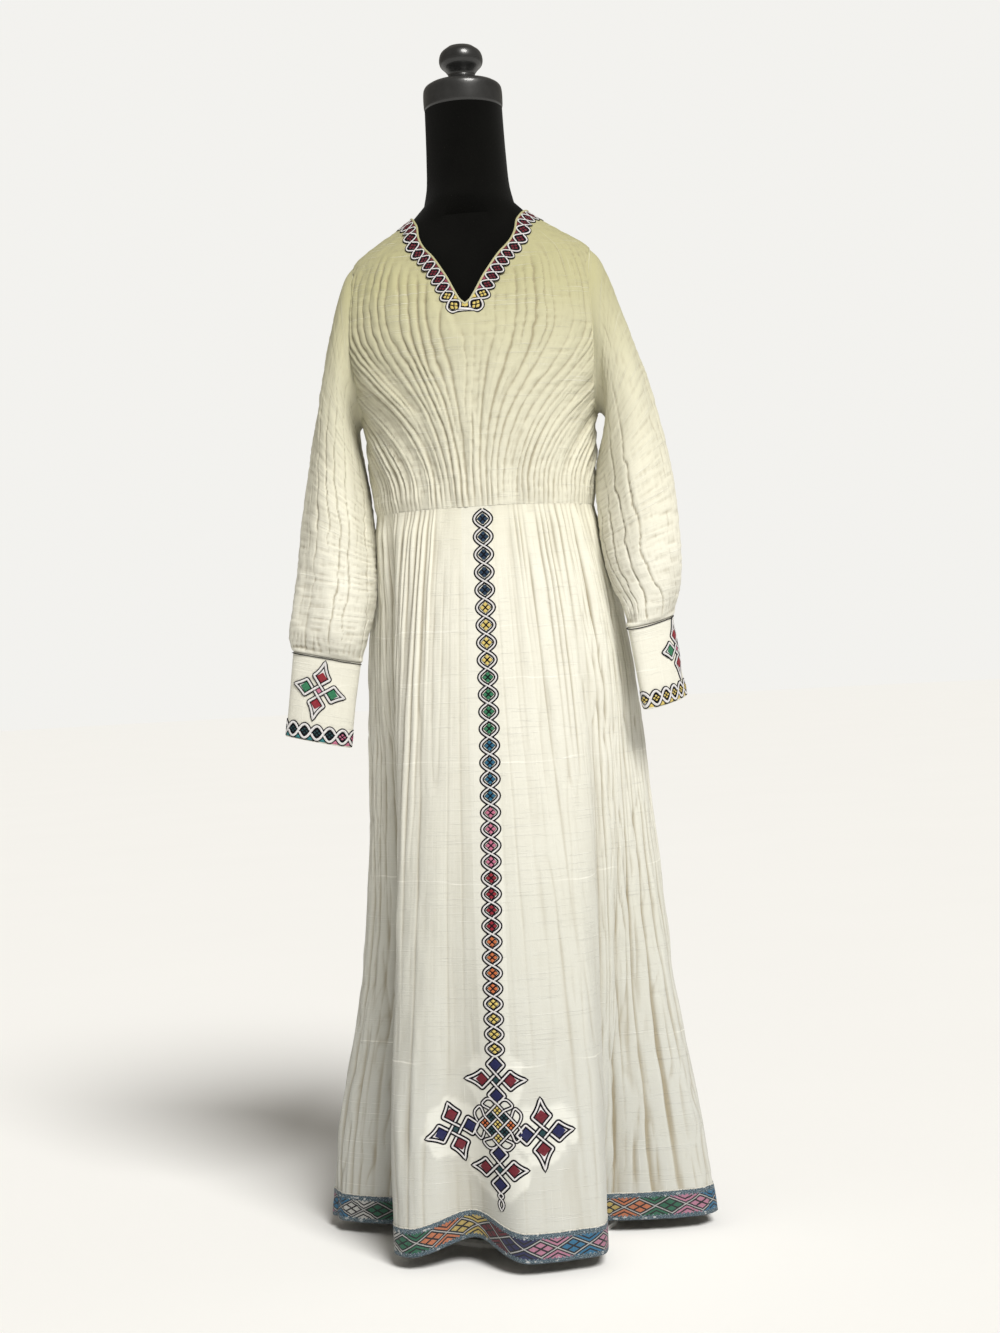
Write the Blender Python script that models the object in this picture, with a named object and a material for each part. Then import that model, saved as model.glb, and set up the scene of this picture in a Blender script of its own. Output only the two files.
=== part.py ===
"""A habesha kemis, a long gathered cotton dress, on a limbless dress form.

Units are metres and degrees, +Z up. The front faces -Y and the wearer's right side is -X.
The origin is the middle of the stand's foot, on the floor. An angle goes round the body
from the middle of the front, positive towards the wearer's left.
"""

import math

import bpy
from mathutils import Vector

# Cloth.
WALL = 0.0020
SKIRT_WALL = 0.0024
TRIM_WALL = 0.0012
SEAM_GAP = 0.0003
BAND_GAP = 0.0005
TRIM_GAP = 0.0009
WAIST_HEIGHT = 1.010

# Sections of the bodice, from the waist seam to the neck.
# height, half width, depth in front, depth behind
BODICE_SECTIONS = (
    (1.010, 0.1500, 0.1170, 0.1050),
    (1.060, 0.1530, 0.1220, 0.1080),
    (1.135, 0.1650, 0.1320, 0.1150),
    (1.200, 0.1830, 0.1350, 0.1200),
    (1.250, 0.1900, 0.1320, 0.1200),
    (1.300, 0.1900, 0.1180, 0.1120),
    (1.340, 0.1825, 0.0980, 0.0980),
    (1.372, 0.1680, 0.0790, 0.0800),
    (1.391, 0.1460, 0.0690, 0.0700),
    (1.411, 0.1140, 0.0620, 0.0630),
    (1.432, 0.0830, 0.0570, 0.0580),
    (1.450, 0.0680, 0.0550, 0.0560),
)

# The neckline, a V in front and shallow behind, from the middle of the front.
# angle, height
NECKLINE = (
    (0.0, 1.2870),
    (2.5, 1.2950),
    (8.7, 1.3325),
    (17.2, 1.3670),
    (41.0, 1.4145),
    (90.0, 1.4320),
    (135.0, 1.4200),
    (180.0, 1.4080),
)
NECK_TRIM_WIDTH = 0.026
NECK_TRIM_STEPS = 64

# The armhole is an ellipse seen from the side. Its stations count from the top, and a
# negative one is on the front.
ARMHOLE_TOP = 1.3720
ARMHOLE_BOTTOM = 1.1350
ARMHOLE_HALF_DEPTH = 0.0600
SLEEVE_COLUMNS = 20
ARMHOLE_STEP = 360.0 / SLEEVE_COLUMNS

# Rows of the bodice panels: where each starts at the middle or on the neckline, and where
# it ends on the side seam or the armhole. A row that starts on the neckline has no start
# height, and a row that ends on the armhole has a station in place of an end height.
# start angle, start height, end height, armhole station
FRONT_ROWS = (
    (0.0, 1.010, 1.010, None),
    (0.0, 1.052, 1.040, None),
    (0.0, 1.094, 1.072, None),
    (0.0, 1.135, 1.104, None),
    (0.0, 1.175, None, -180.0),
    (0.0, 1.213, None, -162.0),
    (0.0, 1.250, None, -144.0),
    (0.0, None, None, -126.0),
    (6.0, None, None, -108.0),
    (13.0, None, None, -90.0),
    (24.0, None, None, -72.0),
    (41.0, None, None, -54.0),
)
BACK_ROWS = (
    (180.0, 1.010, 1.010, None),
    (180.0, 1.055, 1.040, None),
    (180.0, 1.095, 1.072, None),
    (180.0, 1.135, 1.104, None),
    (180.0, 1.172, None, 180.0),
    (180.0, 1.215, None, 162.0),
    (180.0, 1.262, None, 144.0),
    (180.0, 1.308, None, 126.0),
    (180.0, 1.350, None, 108.0),
    (180.0, 1.384, None, 90.0),
    (180.0, None, None, 72.0),
    (156.0, None, None, 54.0),
    (132.0, None, None, 36.0),
    (110.0, None, None, 18.0),
    (90.0, None, None, 0.0),
    (75.0, None, None, -18.0),
    (58.0, None, None, -36.0),
    (41.0, None, None, -54.0),
)
FRONT_PLEATS = 11
BACK_PLEATS = 7
PLEAT_DEPTH = 0.0020
PLAIN_NEAR_NECK = 0.060
PLEAT_GROWS_OVER = 0.030

# Sections of the skirt, from the waist seam to the hem.
# height, half width at the right, half width at the left, depth in front, depth behind
SKIRT_SECTIONS = (
    (1.010, 0.1500, 0.1500, 0.1170, 0.1050),
    (0.950, 0.1575, 0.1600, 0.1290, 0.1180),
    (0.884, 0.1650, 0.1740, 0.1420, 0.1320),
    (0.742, 0.1800, 0.1970, 0.1660, 0.1560),
    (0.599, 0.1900, 0.2110, 0.1900, 0.1780),
    (0.457, 0.2000, 0.2230, 0.2140, 0.2000),
    (0.314, 0.2180, 0.2360, 0.2380, 0.2240),
    (0.172, 0.2500, 0.2560, 0.2580, 0.2460),
    (0.018, 0.2640, 0.2740, 0.2740, 0.2620),
)
HEM_HEIGHT = 0.018
HEM_BAND_HEIGHT = 0.038

# The skirt's large hanging folds: valleys between its lobes.
# angle at the waist, angle at the hem, half width, depth at the waist, depth at the hem,
# how fast it fades upwards, how far it lifts the hem
SKIRT_VALLEYS = (
    (-70.0, -58.0, 28.0, 0.010, 0.125, 1.3, 0.000),
    (64.0, 53.5, 30.0, 0.000, 0.135, 2.2, 0.000),
    (-12.0, -11.0, 19.0, 0.000, 0.060, 3.5, 0.020),
    (125.0, 127.0, 20.0, 0.004, 0.070, 1.6, 0.006),
    (-124.0, -128.0, 21.0, 0.004, 0.074, 1.6, 0.008),
    (160.0, 163.0, 15.0, 0.003, 0.048, 1.8, 0.004),
    (-163.0, -165.0, 14.0, 0.002, 0.042, 2.0, 0.000),
    (92.0, 100.0, 10.0, 0.000, 0.024, 2.5, 0.004),
    (-98.0, -101.0, 9.0, 0.000, 0.020, 2.5, 0.003),
)

# The four skirt panels, each in stretches of gathers. A stretch with no folds is flat.
# panel, start angle, end angle, folds, flat columns
SKIRT_STRETCHES = (
    ("skirt_front", -62.0, -27.0, 8, 0),
    ("skirt_front", -27.0, 21.0, 0, 8),
    ("skirt_front", 21.0, 60.0, 10, 0),
    ("skirt_left_side", 60.0, 122.0, 7, 0),
    ("skirt_back", 122.0, 238.0, 12, 0),
    ("skirt_right_side", 238.0, 298.0, 7, 0),
)
GATHER_DEPTH = 0.0045
GATHER_FADE_HEIGHT = 0.42
SKIRT_ROWS = (0.0, 0.045, 0.10, 0.17, 0.25, 0.34, 0.44, 0.54, 0.65, 0.76, 0.88, 1.0)

# Rings of the sleeves after the armhole, down to the cuff seam and the cuff's lower edge.
# inner x, inner height, outer x, outer height, middle y, half depth, turn
RIGHT_SLEEVE = (
    (0.1690, 1.1410, 0.1810, 1.3570, 0.000, 0.0615, 0.0),
    (0.1740, 1.1370, 0.1915, 1.3290, 0.000, 0.0640, 0.0),
    (0.1765, 1.1230, 0.2030, 1.2850, -0.002, 0.0665, 0.0),
    (0.1765, 1.0980, 0.2170, 1.2330, -0.005, 0.0670, 0.0),
    (0.1740, 1.0600, 0.2330, 1.1700, -0.010, 0.0655, 0.0),
    (0.1680, 1.0100, 0.2465, 1.0880, -0.017, 0.0620, 0.0),
    (0.1650, 0.9580, 0.2590, 1.0060, -0.026, 0.0570, 0.0),
    (0.1670, 0.9060, 0.2680, 0.9300, -0.036, 0.0510, 0.0),
    (0.1710, 0.8640, 0.2750, 0.8820, -0.044, 0.0450, 0.0),
    (0.1755, 0.8320, 0.2800, 0.8510, -0.049, 0.0360, 0.0),
    (0.1820, 0.8040, 0.2770, 0.8260, -0.050, 0.0210, 0.0),
)
RIGHT_CUFF_END = (0.2010, 0.6870, 0.2930, 0.7080, -0.056, 0.0185, 0.0)
LEFT_SLEEVE = (
    (0.1690, 1.1410, 0.1810, 1.3570, 0.000, 0.0615, 0.0),
    (0.1740, 1.1370, 0.1920, 1.3290, 0.000, 0.0640, 0.0),
    (0.1765, 1.1230, 0.2050, 1.2850, -0.002, 0.0665, 0.0),
    (0.1765, 1.0980, 0.2225, 1.2370, -0.005, 0.0670, 0.0),
    (0.1750, 1.0600, 0.2410, 1.1800, -0.012, 0.0655, 2.0),
    (0.1710, 1.0100, 0.2590, 1.0980, -0.022, 0.0620, 4.0),
    (0.1700, 0.9560, 0.2720, 1.0060, -0.034, 0.0570, 8.0),
    (0.1750, 0.9140, 0.2740, 0.9440, -0.044, 0.0500, 15.0),
    (0.1800, 0.8870, 0.2730, 0.9060, -0.049, 0.0420, 28.0),
    (0.1830, 0.8640, 0.2760, 0.8800, -0.052, 0.0310, 44.0),
    (0.1820, 0.8330, 0.2730, 0.8500, -0.052, 0.0200, 55.0),
)
LEFT_CUFF_END = (0.1970, 0.7210, 0.2870, 0.7380, -0.058, 0.0180, 55.0)
SLEEVE_FOLD_TOP = 0.0012
SLEEVE_FOLD_CUFF = 0.0034
CUFF_ROWS = 2

# The dress form: a torso with a neck, turned sections on a plain pole and foot.
# height, half width, depth in front, depth behind
FORM_SECTIONS = (
    (0.735, 0.1390, 0.0960, 0.0930),
    (0.790, 0.1450, 0.1010, 0.0990),
    (0.850, 0.1430, 0.1010, 0.0980),
    (0.930, 0.1290, 0.0940, 0.0890),
    (1.020, 0.1180, 0.0880, 0.0820),
    (1.100, 0.1290, 0.0990, 0.0880),
    (1.180, 0.1440, 0.1120, 0.0970),
    (1.250, 0.1500, 0.1120, 0.1000),
    (1.310, 0.1500, 0.0980, 0.0940),
    (1.345, 0.1490, 0.0830, 0.0840),
    (1.368, 0.1495, 0.0740, 0.0750),
)
FORM_SHOULDER_HEIGHTS = (1.387, 1.407, 1.425)
FORM_DROP = 0.0042
FORM_INSET = 0.0038
# height, radius, middle y
FORM_NECK = (
    (1.446, 0.0645, -0.001),
    (1.472, 0.0590, -0.003),
    (1.510, 0.0568, -0.006),
    (1.548, 0.0556, -0.009),
    (1.580, 0.0550, -0.011),
)
FORM_BOTTOM_ROUND = ((0.7200, 0.72), (0.7235, 0.90))
FORM_COLUMNS = 30
NECK_CAP_PROFILE = (
    (0.0000, 1.5803),
    (0.0545, 1.5803),
    (0.0560, 1.5850),
    (0.0560, 1.6040),
    (0.0535, 1.6120),
    (0.0470, 1.6165),
    (0.0000, 1.6175),
)
FINIAL_PROFILE = (
    (0.0000, 1.6178),
    (0.0290, 1.6178),
    (0.0300, 1.6205),
    (0.0215, 1.6245),
    (0.0190, 1.6295),
    (0.0230, 1.6360),
    (0.0295, 1.6430),
    (0.0310, 1.6520),
    (0.0275, 1.6620),
    (0.0180, 1.6695),
    (0.0000, 1.6725),
)
FINIAL_Y = -0.011
POLE_RADIUS = 0.0125
POLE_BOTTOM = 0.0363
FOOT_PROFILE = (
    (0.0000, 0.0000),
    (0.1400, 0.0000),
    (0.1400, 0.0060),
    (0.1340, 0.0090),
    (0.0360, 0.0130),
    (0.0250, 0.0180),
    (0.0220, 0.0360),
    (0.0000, 0.0360),
)
ROUND_STEPS = 24


def remove_old_objects():
    """Start from a scene with nothing in it."""
    for old in list(bpy.data.objects):
        bpy.data.objects.remove(old, do_unlink=True)


def make_material(name, colour, roughness, metallic=0.0):
    """A plain Principled material."""
    material = bpy.data.materials.new(name)
    material.use_nodes = True
    shader = material.node_tree.nodes["Principled BSDF"]
    shader.inputs["Base Color"].default_value = (*colour, 1.0)
    shader.inputs["Roughness"].default_value = roughness
    shader.inputs["Metallic"].default_value = metallic
    material.diffuse_color = (*colour, 1.0)
    return material


def blend(start, end, share):
    return start + (end - start) * share


def read_table(table, at):
    """The columns of a table at a place in its first column, on a smooth curve through
    the rows, which may run up or down."""
    rows = table if table[0][0] < table[-1][0] else table[::-1]
    at = min(max(at, rows[0][0]), rows[-1][0])
    k = 0
    while k < len(rows) - 2 and rows[k + 1][0] < at:
        k += 1
    low, high = rows[k], rows[k + 1]
    before, after = rows[max(k - 1, 0)], rows[min(k + 2, len(rows) - 1)]
    span = high[0] - low[0]
    t = (at - low[0]) / span
    out = []
    for c in range(1, len(low)):
        rise_low = (high[c] - before[c]) / (high[0] - before[0]) * span
        rise_high = (after[c] - low[c]) / (after[0] - low[0]) * span
        t2, t3 = t * t, t * t * t
        out.append(
            (2 * t3 - 3 * t2 + 1) * low[c]
            + (t3 - 2 * t2 + t) * rise_low
            + (3 * t2 - 2 * t3) * high[c]
            + (t3 - t2) * rise_high
        )
    return out


def bodice_point(angle, height):
    """A point of the bodice's outer face, without pleats."""
    half_width, front, behind = read_table(BODICE_SECTIONS, height)
    turn = math.radians(angle)
    depth = front if math.cos(turn) > 0 else behind
    return Vector((half_width * math.sin(turn), -depth * math.cos(turn), height))


def bodice_outward(angle, height):
    """The direction out of the bodice's face."""
    across = bodice_point(angle + 0.5, height) - bodice_point(angle - 0.5, height)
    up = bodice_point(angle, height + 0.002) - bodice_point(angle, height - 0.002)
    return across.cross(up).normalized()


def neckline_height(angle):
    return read_table(NECKLINE, abs(angle))[0]


def armhole_place(station):
    """The angle and height of a station on the armhole."""
    turn = math.radians(station)
    middle = (ARMHOLE_TOP + ARMHOLE_BOTTOM) / 2
    height = middle + (ARMHOLE_TOP - ARMHOLE_BOTTOM) / 2 * math.cos(turn)
    y = ARMHOLE_HALF_DEPTH * math.sin(turn)
    _, front, behind = read_table(BODICE_SECTIONS, height)
    depth = front if y < 0 else behind
    return math.degrees(math.acos(-y / depth)), height


def cloth_wall(name, outer, inner, skin, material):
    """One closed wall of cloth: an outer and an inner face, and a rim on each free edge."""
    count = len(outer)
    faces = [tuple(face) for face in skin]
    faces += [tuple(count + i for i in reversed(face)) for face in skin]
    edges = set()
    for face in skin:
        edges.update(zip(face, face[1:] + face[:1]))
    faces += [(b, a, count + a, count + b) for a, b in sorted(edges) if (b, a) not in edges]
    mesh = bpy.data.meshes.new(name)
    mesh.from_pydata(list(outer) + list(inner), [], faces)
    mesh.materials.append(material)
    mesh.shade_smooth()
    mesh.set_sharp_from_angle(angle=math.radians(50))
    made = bpy.data.objects.new(name, mesh)
    bpy.context.scene.collection.objects.link(made)
    return made


def grid_faces(index, rows, columns, closed=False):
    """The triangles of a grid whose rows go up and columns go round to the left side. All
    share one slant, so that a piece made from another's points lies flat on it."""
    faces = []
    for r in range(rows - 1):
        for c in range(columns if closed else columns - 1):
            d = (c + 1) % columns
            faces.append([index[r][c], index[r][d], index[r + 1][d]])
            faces.append([index[r][c], index[r + 1][d], index[r + 1][c]])
    return faces


def row_ends(row):
    """The angle and height where a bodice row starts and where it ends."""
    start_angle, start_height, end_height, station = row
    if start_height is None:
        start_height = neckline_height(start_angle)
    end = (90.0, end_height) if station is None else armhole_place(station)
    return (start_angle, start_height), end


def make_bodice(name, rows, pleats, material):
    """A bodice panel: both halves in one piece, joined where its rows start in the
    middle, with pleats that run from the waist to the shoulder."""
    columns = 2 * pleats + 1
    middle = rows[0][0]
    outer, inner, skin = [], [], []
    shared = {}
    ends = [row_ends(row) for row in rows]
    for side in (1, -1):
        index = []
        for r, ((start_angle, start_height), (end_angle, end_height)) in enumerate(ends):
            line = []
            for c in range(columns):
                joined = c == 0 and start_angle == middle
                if joined and r in shared:
                    line.append(shared[r])
                    continue
                share = c / (columns - 1)
                angle = side * blend(start_angle, end_angle, share)
                height = blend(start_height, end_height, share)
                out = bodice_outward(angle, height)
                place = bodice_point(angle, height)
                below_neck = neckline_height(angle) - height
                plain = (below_neck - PLAIN_NEAR_NECK) / PLEAT_GROWS_OVER
                plain = min(max(plain, 0.0), 1.0)
                near_edge = min((columns - 1 - c) / 4, 1.0)
                near_top = min((len(rows) - 1 - r) / 3, 1.0)
                fold = PLEAT_DEPTH * (c % 2) * plain * near_edge * near_top
                line.append(len(outer))
                outer.append(place + out * fold)
                inner.append(place + out * (fold - WALL))
                if joined:
                    shared[r] = line[-1]
            index.append(line)
        draw_back(outer, inner, index, rows)
        panel = grid_faces(index, len(rows), columns)
        left_to_right = side * (1 if middle == 0.0 else -1) > 0
        skin += panel if left_to_right else [face[::-1] for face in panel]
    return cloth_wall(name, outer, inner, skin, material)


def draw_back(outer, inner, index, rows):
    """Draw a bodice half back from its side seam, shoulder seam and waist seam."""
    moves = {}
    for r, row in enumerate(rows[:-1]):
        if row[3] is None or abs(row[3]) == 180.0:
            edge, beside = index[r][-1], index[r][-2]
            moves[edge] = (outer[beside] - outer[edge]).normalized()
    for c in range(len(index[-1])):
        edge, below = index[-1][c], index[-2][c]
        moves[edge] = (outer[below] - outer[edge]).normalized()
    for place, direction in moves.items():
        outer[place] = outer[place] + direction * SEAM_GAP * 0.6
        inner[place] = inner[place] + direction * SEAM_GAP * 0.6
    for place in index[0]:
        lift = WAIST_HEIGHT + SEAM_GAP / 2
        outer[place].z = max(outer[place].z, lift)
        inner[place].z = max(inner[place].z, lift)


def smooth_step(value):
    value = min(max(value, 0.0), 1.0)
    return value * value * (3 - 2 * value)


def angle_apart(angle, other):
    return (angle - other + 180.0) % 360.0 - 180.0


def hem_height(angle):
    """The height of the skirt's lower edge, which lifts a little in some valleys."""
    height = HEM_HEIGHT
    for _, at_hem, half_width, _, _, _, lift in SKIRT_VALLEYS:
        off = abs(angle_apart(angle, at_hem)) / half_width
        if off < 1:
            height += lift * math.cos(off * math.pi / 2) ** 2
    return height


def skirt_radius(angle, height):
    """How far the skirt's outer face is from the middle, with its large folds."""
    right, left, front, behind = read_table(SKIRT_SECTIONS, height)
    turn = math.radians(angle)
    half_width = left if math.sin(turn) > 0 else right
    depth = front if math.cos(turn) > 0 else behind
    radius = 1 / math.hypot(math.sin(turn) / half_width, math.cos(turn) / depth)
    down = (WAIST_HEIGHT - height) / (WAIST_HEIGHT - HEM_HEIGHT)
    for at_waist, at_hem, half, top_depth, hem_depth, power, _ in SKIRT_VALLEYS:
        off = abs(angle_apart(angle, blend(at_waist, at_hem, down))) / half
        if off < 1:
            depth_here = blend(top_depth * min(down * 8, 1), hem_depth, down**power)
            radius -= depth_here * math.cos(off * math.pi / 2) ** 2
    return radius


def skirt_columns(panel):
    """The angles of a skirt panel's columns, each with 1 on a gather's ridge and else 0."""
    columns = []
    for name, start, end, folds, flat in SKIRT_STRETCHES:
        if name != panel:
            continue
        steps = 2 * folds if folds else flat
        for step in range(steps + 1):
            angle = blend(start, end, step / steps)
            ridge = step % 2 if folds else 0
            if not columns or angle > columns[-1][0] + 0.01:
                columns.append((angle, ridge))
    return columns


def skirt_point(angle, height, ridge, out=0.0):
    """A point of the skirt's outer face with its gathers, moved out by some metres."""
    fade = smooth_step((height - GATHER_FADE_HEIGHT) / (WAIST_HEIGHT - GATHER_FADE_HEIGHT))
    radius = skirt_radius(angle, height) + GATHER_DEPTH * ridge * fade + out
    turn = math.radians(angle)
    return Vector((radius * math.sin(turn), -radius * math.cos(turn), height))


def skirt_row_height(share, angle):
    top = WAIST_HEIGHT - SEAM_GAP / 2
    return blend(top, hem_height(angle) + HEM_BAND_HEIGHT, share)


def make_skirt_panel(name, material):
    """A skirt panel from the waist seam to the hem, between two seams in the valleys."""
    columns = skirt_columns(name)
    outer, inner, index = [], [], []
    for share in (None,) + SKIRT_ROWS[::-1]:
        line = []
        for c, (angle, ridge) in enumerate(columns):
            height = hem_height(angle) if share is None else skirt_row_height(share, angle)
            line.append(len(outer))
            outer.append(skirt_point(angle, height, ridge))
            inner.append(skirt_point(angle, height, ridge, -SKIRT_WALL))
            turn = math.radians(angle)
            along = Vector((math.cos(turn), math.sin(turn), 0)) * SEAM_GAP / 2
            if c == 0:
                outer[-1] += along
                inner[-1] += along
            if c == len(columns) - 1:
                outer[-1] -= along
                inner[-1] -= along
        index.append(line)
    skin = grid_faces(index, len(index), len(columns))
    return cloth_wall(name, outer, inner, skin, material)


def make_hem_band(material):
    """The woven band round the hem, which lies on the skirt's outer points."""
    columns = []
    for panel in dict.fromkeys(row[0] for row in SKIRT_STRETCHES):
        columns += skirt_columns(panel)[:-1]
    outer, inner, index = [], [], []
    for rise in (0.0, HEM_BAND_HEIGHT):
        line = []
        for angle, ridge in columns:
            height = hem_height(angle) + rise
            line.append(len(outer))
            outer.append(skirt_point(angle, height, ridge, BAND_GAP + TRIM_WALL))
            inner.append(skirt_point(angle, height, ridge, BAND_GAP))
        index.append(line)
    skin = grid_faces(index, 2, len(columns), closed=True)
    return cloth_wall("hem_band", outer, inner, skin, material)


def make_neck_trim(material):
    """The embroidered band round the neckline, on the bodice's outer face."""
    outer, inner, index = [], [], []
    stations = []
    for k in range(NECK_TRIM_STEPS):
        share = 2 * k / NECK_TRIM_STEPS - 1
        stations.append(math.copysign(180.0 * abs(share) ** 1.7, share))
    places = [bodice_point(a, neckline_height(a)) for a in stations]
    for width in (NECK_TRIM_WIDTH, NECK_TRIM_WIDTH / 2, 0.0):
        line = []
        for k, angle in enumerate(stations):
            ahead = places[(k + 1) % NECK_TRIM_STEPS]
            along = (ahead - places[k - 1]).normalized()
            out = bodice_outward(angle, places[k].z)
            off = places[k] + out.cross(along).normalized() * -width
            half_width, front, behind = read_table(BODICE_SECTIONS, off.z)
            depth = front if off.y < 0 else behind
            there = math.degrees(math.atan2(off.x / half_width, -off.y / depth))
            base = bodice_point(there, off.z)
            out = bodice_outward(there, off.z)
            line.append(len(outer))
            outer.append(base + out * (TRIM_GAP + TRIM_WALL))
            inner.append(base + out * TRIM_GAP)
        index.append(line)
    skin = grid_faces(index, 3, NECK_TRIM_STEPS, closed=True)
    return cloth_wall("neck_trim", outer, inner, skin, material)


def sleeve_ring(row, side):
    """The points round one ring of a sleeve, its middle and the direction along it."""
    inner_x, inner_z, outer_x, outer_z, middle_y, half_depth, turn = row
    angle = math.radians(turn)
    half = (outer_x - inner_x) / 2
    middle = Vector(((inner_x + outer_x) / 2, middle_y, (inner_z + outer_z) / 2))
    to_outer = Vector((half * math.cos(angle), half * math.sin(angle), (outer_z - inner_z) / 2))
    to_back = Vector((-math.sin(angle), math.cos(angle), 0)) * half_depth
    ring = []
    for c in range(SLEEVE_COLUMNS):
        station = math.radians(c * ARMHOLE_STEP)
        point = middle + to_outer * math.cos(station) + to_back * math.sin(station)
        ring.append(Vector((side * point.x, point.y, point.z)))
    along = to_outer.cross(to_back).normalized()
    return ring, Vector((-side * along.x, -along.y, -along.z))


def armhole_ring(side):
    """The sleeve's first ring, drawn off the bodice's edge into the armhole."""
    ring = []
    for c in range(SLEEVE_COLUMNS):
        station = c * ARMHOLE_STEP
        angle, height = armhole_place(station if station <= 180 else station - 360)
        before = bodice_point(*armhole_place(station - 2))
        after = bodice_point(*armhole_place(station + 2))
        out = bodice_outward(angle, height)
        into_hole = (after - before).cross(out).normalized()
        point = bodice_point(angle, height)
        hole_middle = bodice_point(90.0, (ARMHOLE_TOP + ARMHOLE_BOTTOM) / 2)
        if into_hole.dot(hole_middle - point) < 0:
            into_hole.negate()
        point += into_hole * SEAM_GAP
        ring.append(Vector((side * point.x, point.y, point.z)))
    return ring


def ring_inward(rings, r, c, along=None):
    """The direction into a sleeve at one of its ring points."""
    ring = rings[r]
    round_it = ring[(c + 1) % len(ring)] - ring[c - 1]
    if along is None:
        along = rings[min(r + 1, len(rings) - 1)][c] - rings[max(r - 1, 0)][c]
    middle = sum(ring, Vector()) / len(ring)
    inward = round_it.cross(along).normalized()
    return inward if inward.dot(middle - ring[c]) > 0 else -inward


def make_sleeve(name, table, side, material):
    """A sleeve from the armhole to the cuff seam, with long folds that deepen into the
    gathers at the cuff."""
    rings = [armhole_ring(side)] + [sleeve_ring(row, side)[0] for row in table]
    along_cuff = sleeve_ring(table[-1], side)[1]
    outer, inner, index = [], [], []
    last = len(rings) - 1
    for r in range(last + 1):
        line = []
        share = r / last
        fold = 0.0 if r == 0 else blend(SLEEVE_FOLD_TOP, SLEEVE_FOLD_CUFF, share**2)
        for c in range(SLEEVE_COLUMNS):
            inward = ring_inward(rings, r, c, along_cuff if r == last else None)
            place = rings[r][c] - inward * (fold * (c % 2))
            if r == last:
                place = place - along_cuff * SEAM_GAP
            line.append(len(outer))
            outer.append(place)
            inner.append(place + inward * WALL)
        index.append(line)
    skin = grid_faces(index, last + 1, SLEEVE_COLUMNS, closed=True)
    skin = [face[::-1] for face in skin] if side > 0 else skin
    return cloth_wall(name, outer, inner, skin, material)


def make_cuff(name, seam, end, side, material):
    """A plain cuff, a flat open tube."""
    rings = []
    for k in range(CUFF_ROWS + 1):
        row = [blend(a, b, k / CUFF_ROWS) for a, b in zip(seam, end)]
        rings.append(sleeve_ring(row, side)[0])
    along = sleeve_ring(seam, side)[1]
    outer, inner, index = [], [], []
    for r, ring in enumerate(rings):
        line = []
        for c in range(SLEEVE_COLUMNS):
            inward = ring_inward(rings, r, c, along)
            line.append(len(outer))
            outer.append(ring[c].copy())
            inner.append(ring[c] + inward * WALL)
        index.append(line)
    skin = grid_faces(index, CUFF_ROWS + 1, SLEEVE_COLUMNS, closed=True)
    skin = [face[::-1] for face in skin] if side > 0 else skin
    return cloth_wall(name, outer, inner, skin, material)


def closed_solid(name, rings, material, sharp=30):
    """A smooth solid through closed rings from bottom to top, with a flat face at each
    end."""
    count = len(rings[0])
    points = [point for ring in rings for point in ring]
    index = [[r * count + c for c in range(count)] for r in range(len(rings))]
    faces = [tuple(face) for face in grid_faces(index, len(rings), count, closed=True)]
    faces.append(tuple(reversed(index[0])))
    faces.append(tuple(index[-1]))
    mesh = bpy.data.meshes.new(name)
    mesh.from_pydata(points, [], faces)
    mesh.materials.append(material)
    mesh.shade_smooth()
    mesh.set_sharp_from_angle(angle=math.radians(sharp))
    made = bpy.data.objects.new(name, mesh)
    bpy.context.scene.collection.objects.link(made)
    return made


def make_turned(name, profile, middle_y, material):
    """A turned solid whose profile starts and ends on its axis."""
    rings = []
    for radius, height in profile[1:-1]:
        ring = []
        for c in range(ROUND_STEPS):
            turn = math.tau * c / ROUND_STEPS
            x, y = radius * math.sin(turn), middle_y - radius * math.cos(turn)
            ring.append(Vector((x, y, height)))
        rings.append(ring)
    made = closed_solid(name, rings, material)
    if profile[-1][1] != profile[-2][1]:
        dome_top(made, profile[-1][1], middle_y)
    return made


def dome_top(made, height, middle_y):
    """Raise a turned solid's flat top to a point on its axis."""
    mesh = made.data
    top = max(mesh.polygons, key=lambda face: face.center.z)
    ring = list(top.vertices)
    points = [vertex.co.copy() for vertex in mesh.vertices]
    faces = [tuple(f.vertices) for f in mesh.polygons if f.index != top.index]
    points.append(Vector((0, middle_y, height)))
    tip = len(points) - 1
    faces += [(a, b, tip) for a, b in zip(ring, ring[1:] + ring[:1])]
    mesh.clear_geometry()
    mesh.from_pydata(points, [], faces)
    mesh.shade_smooth()
    mesh.set_sharp_from_angle(angle=math.radians(30))


def form_ring(half_width, front, behind, height, middle_y=0.0):
    ring = []
    for c in range(FORM_COLUMNS):
        turn = math.tau * c / FORM_COLUMNS
        depth = front if math.cos(turn) > 0 else behind
        x, y = half_width * math.sin(turn), middle_y - depth * math.cos(turn)
        ring.append(Vector((x, y, height)))
    return ring


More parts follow.
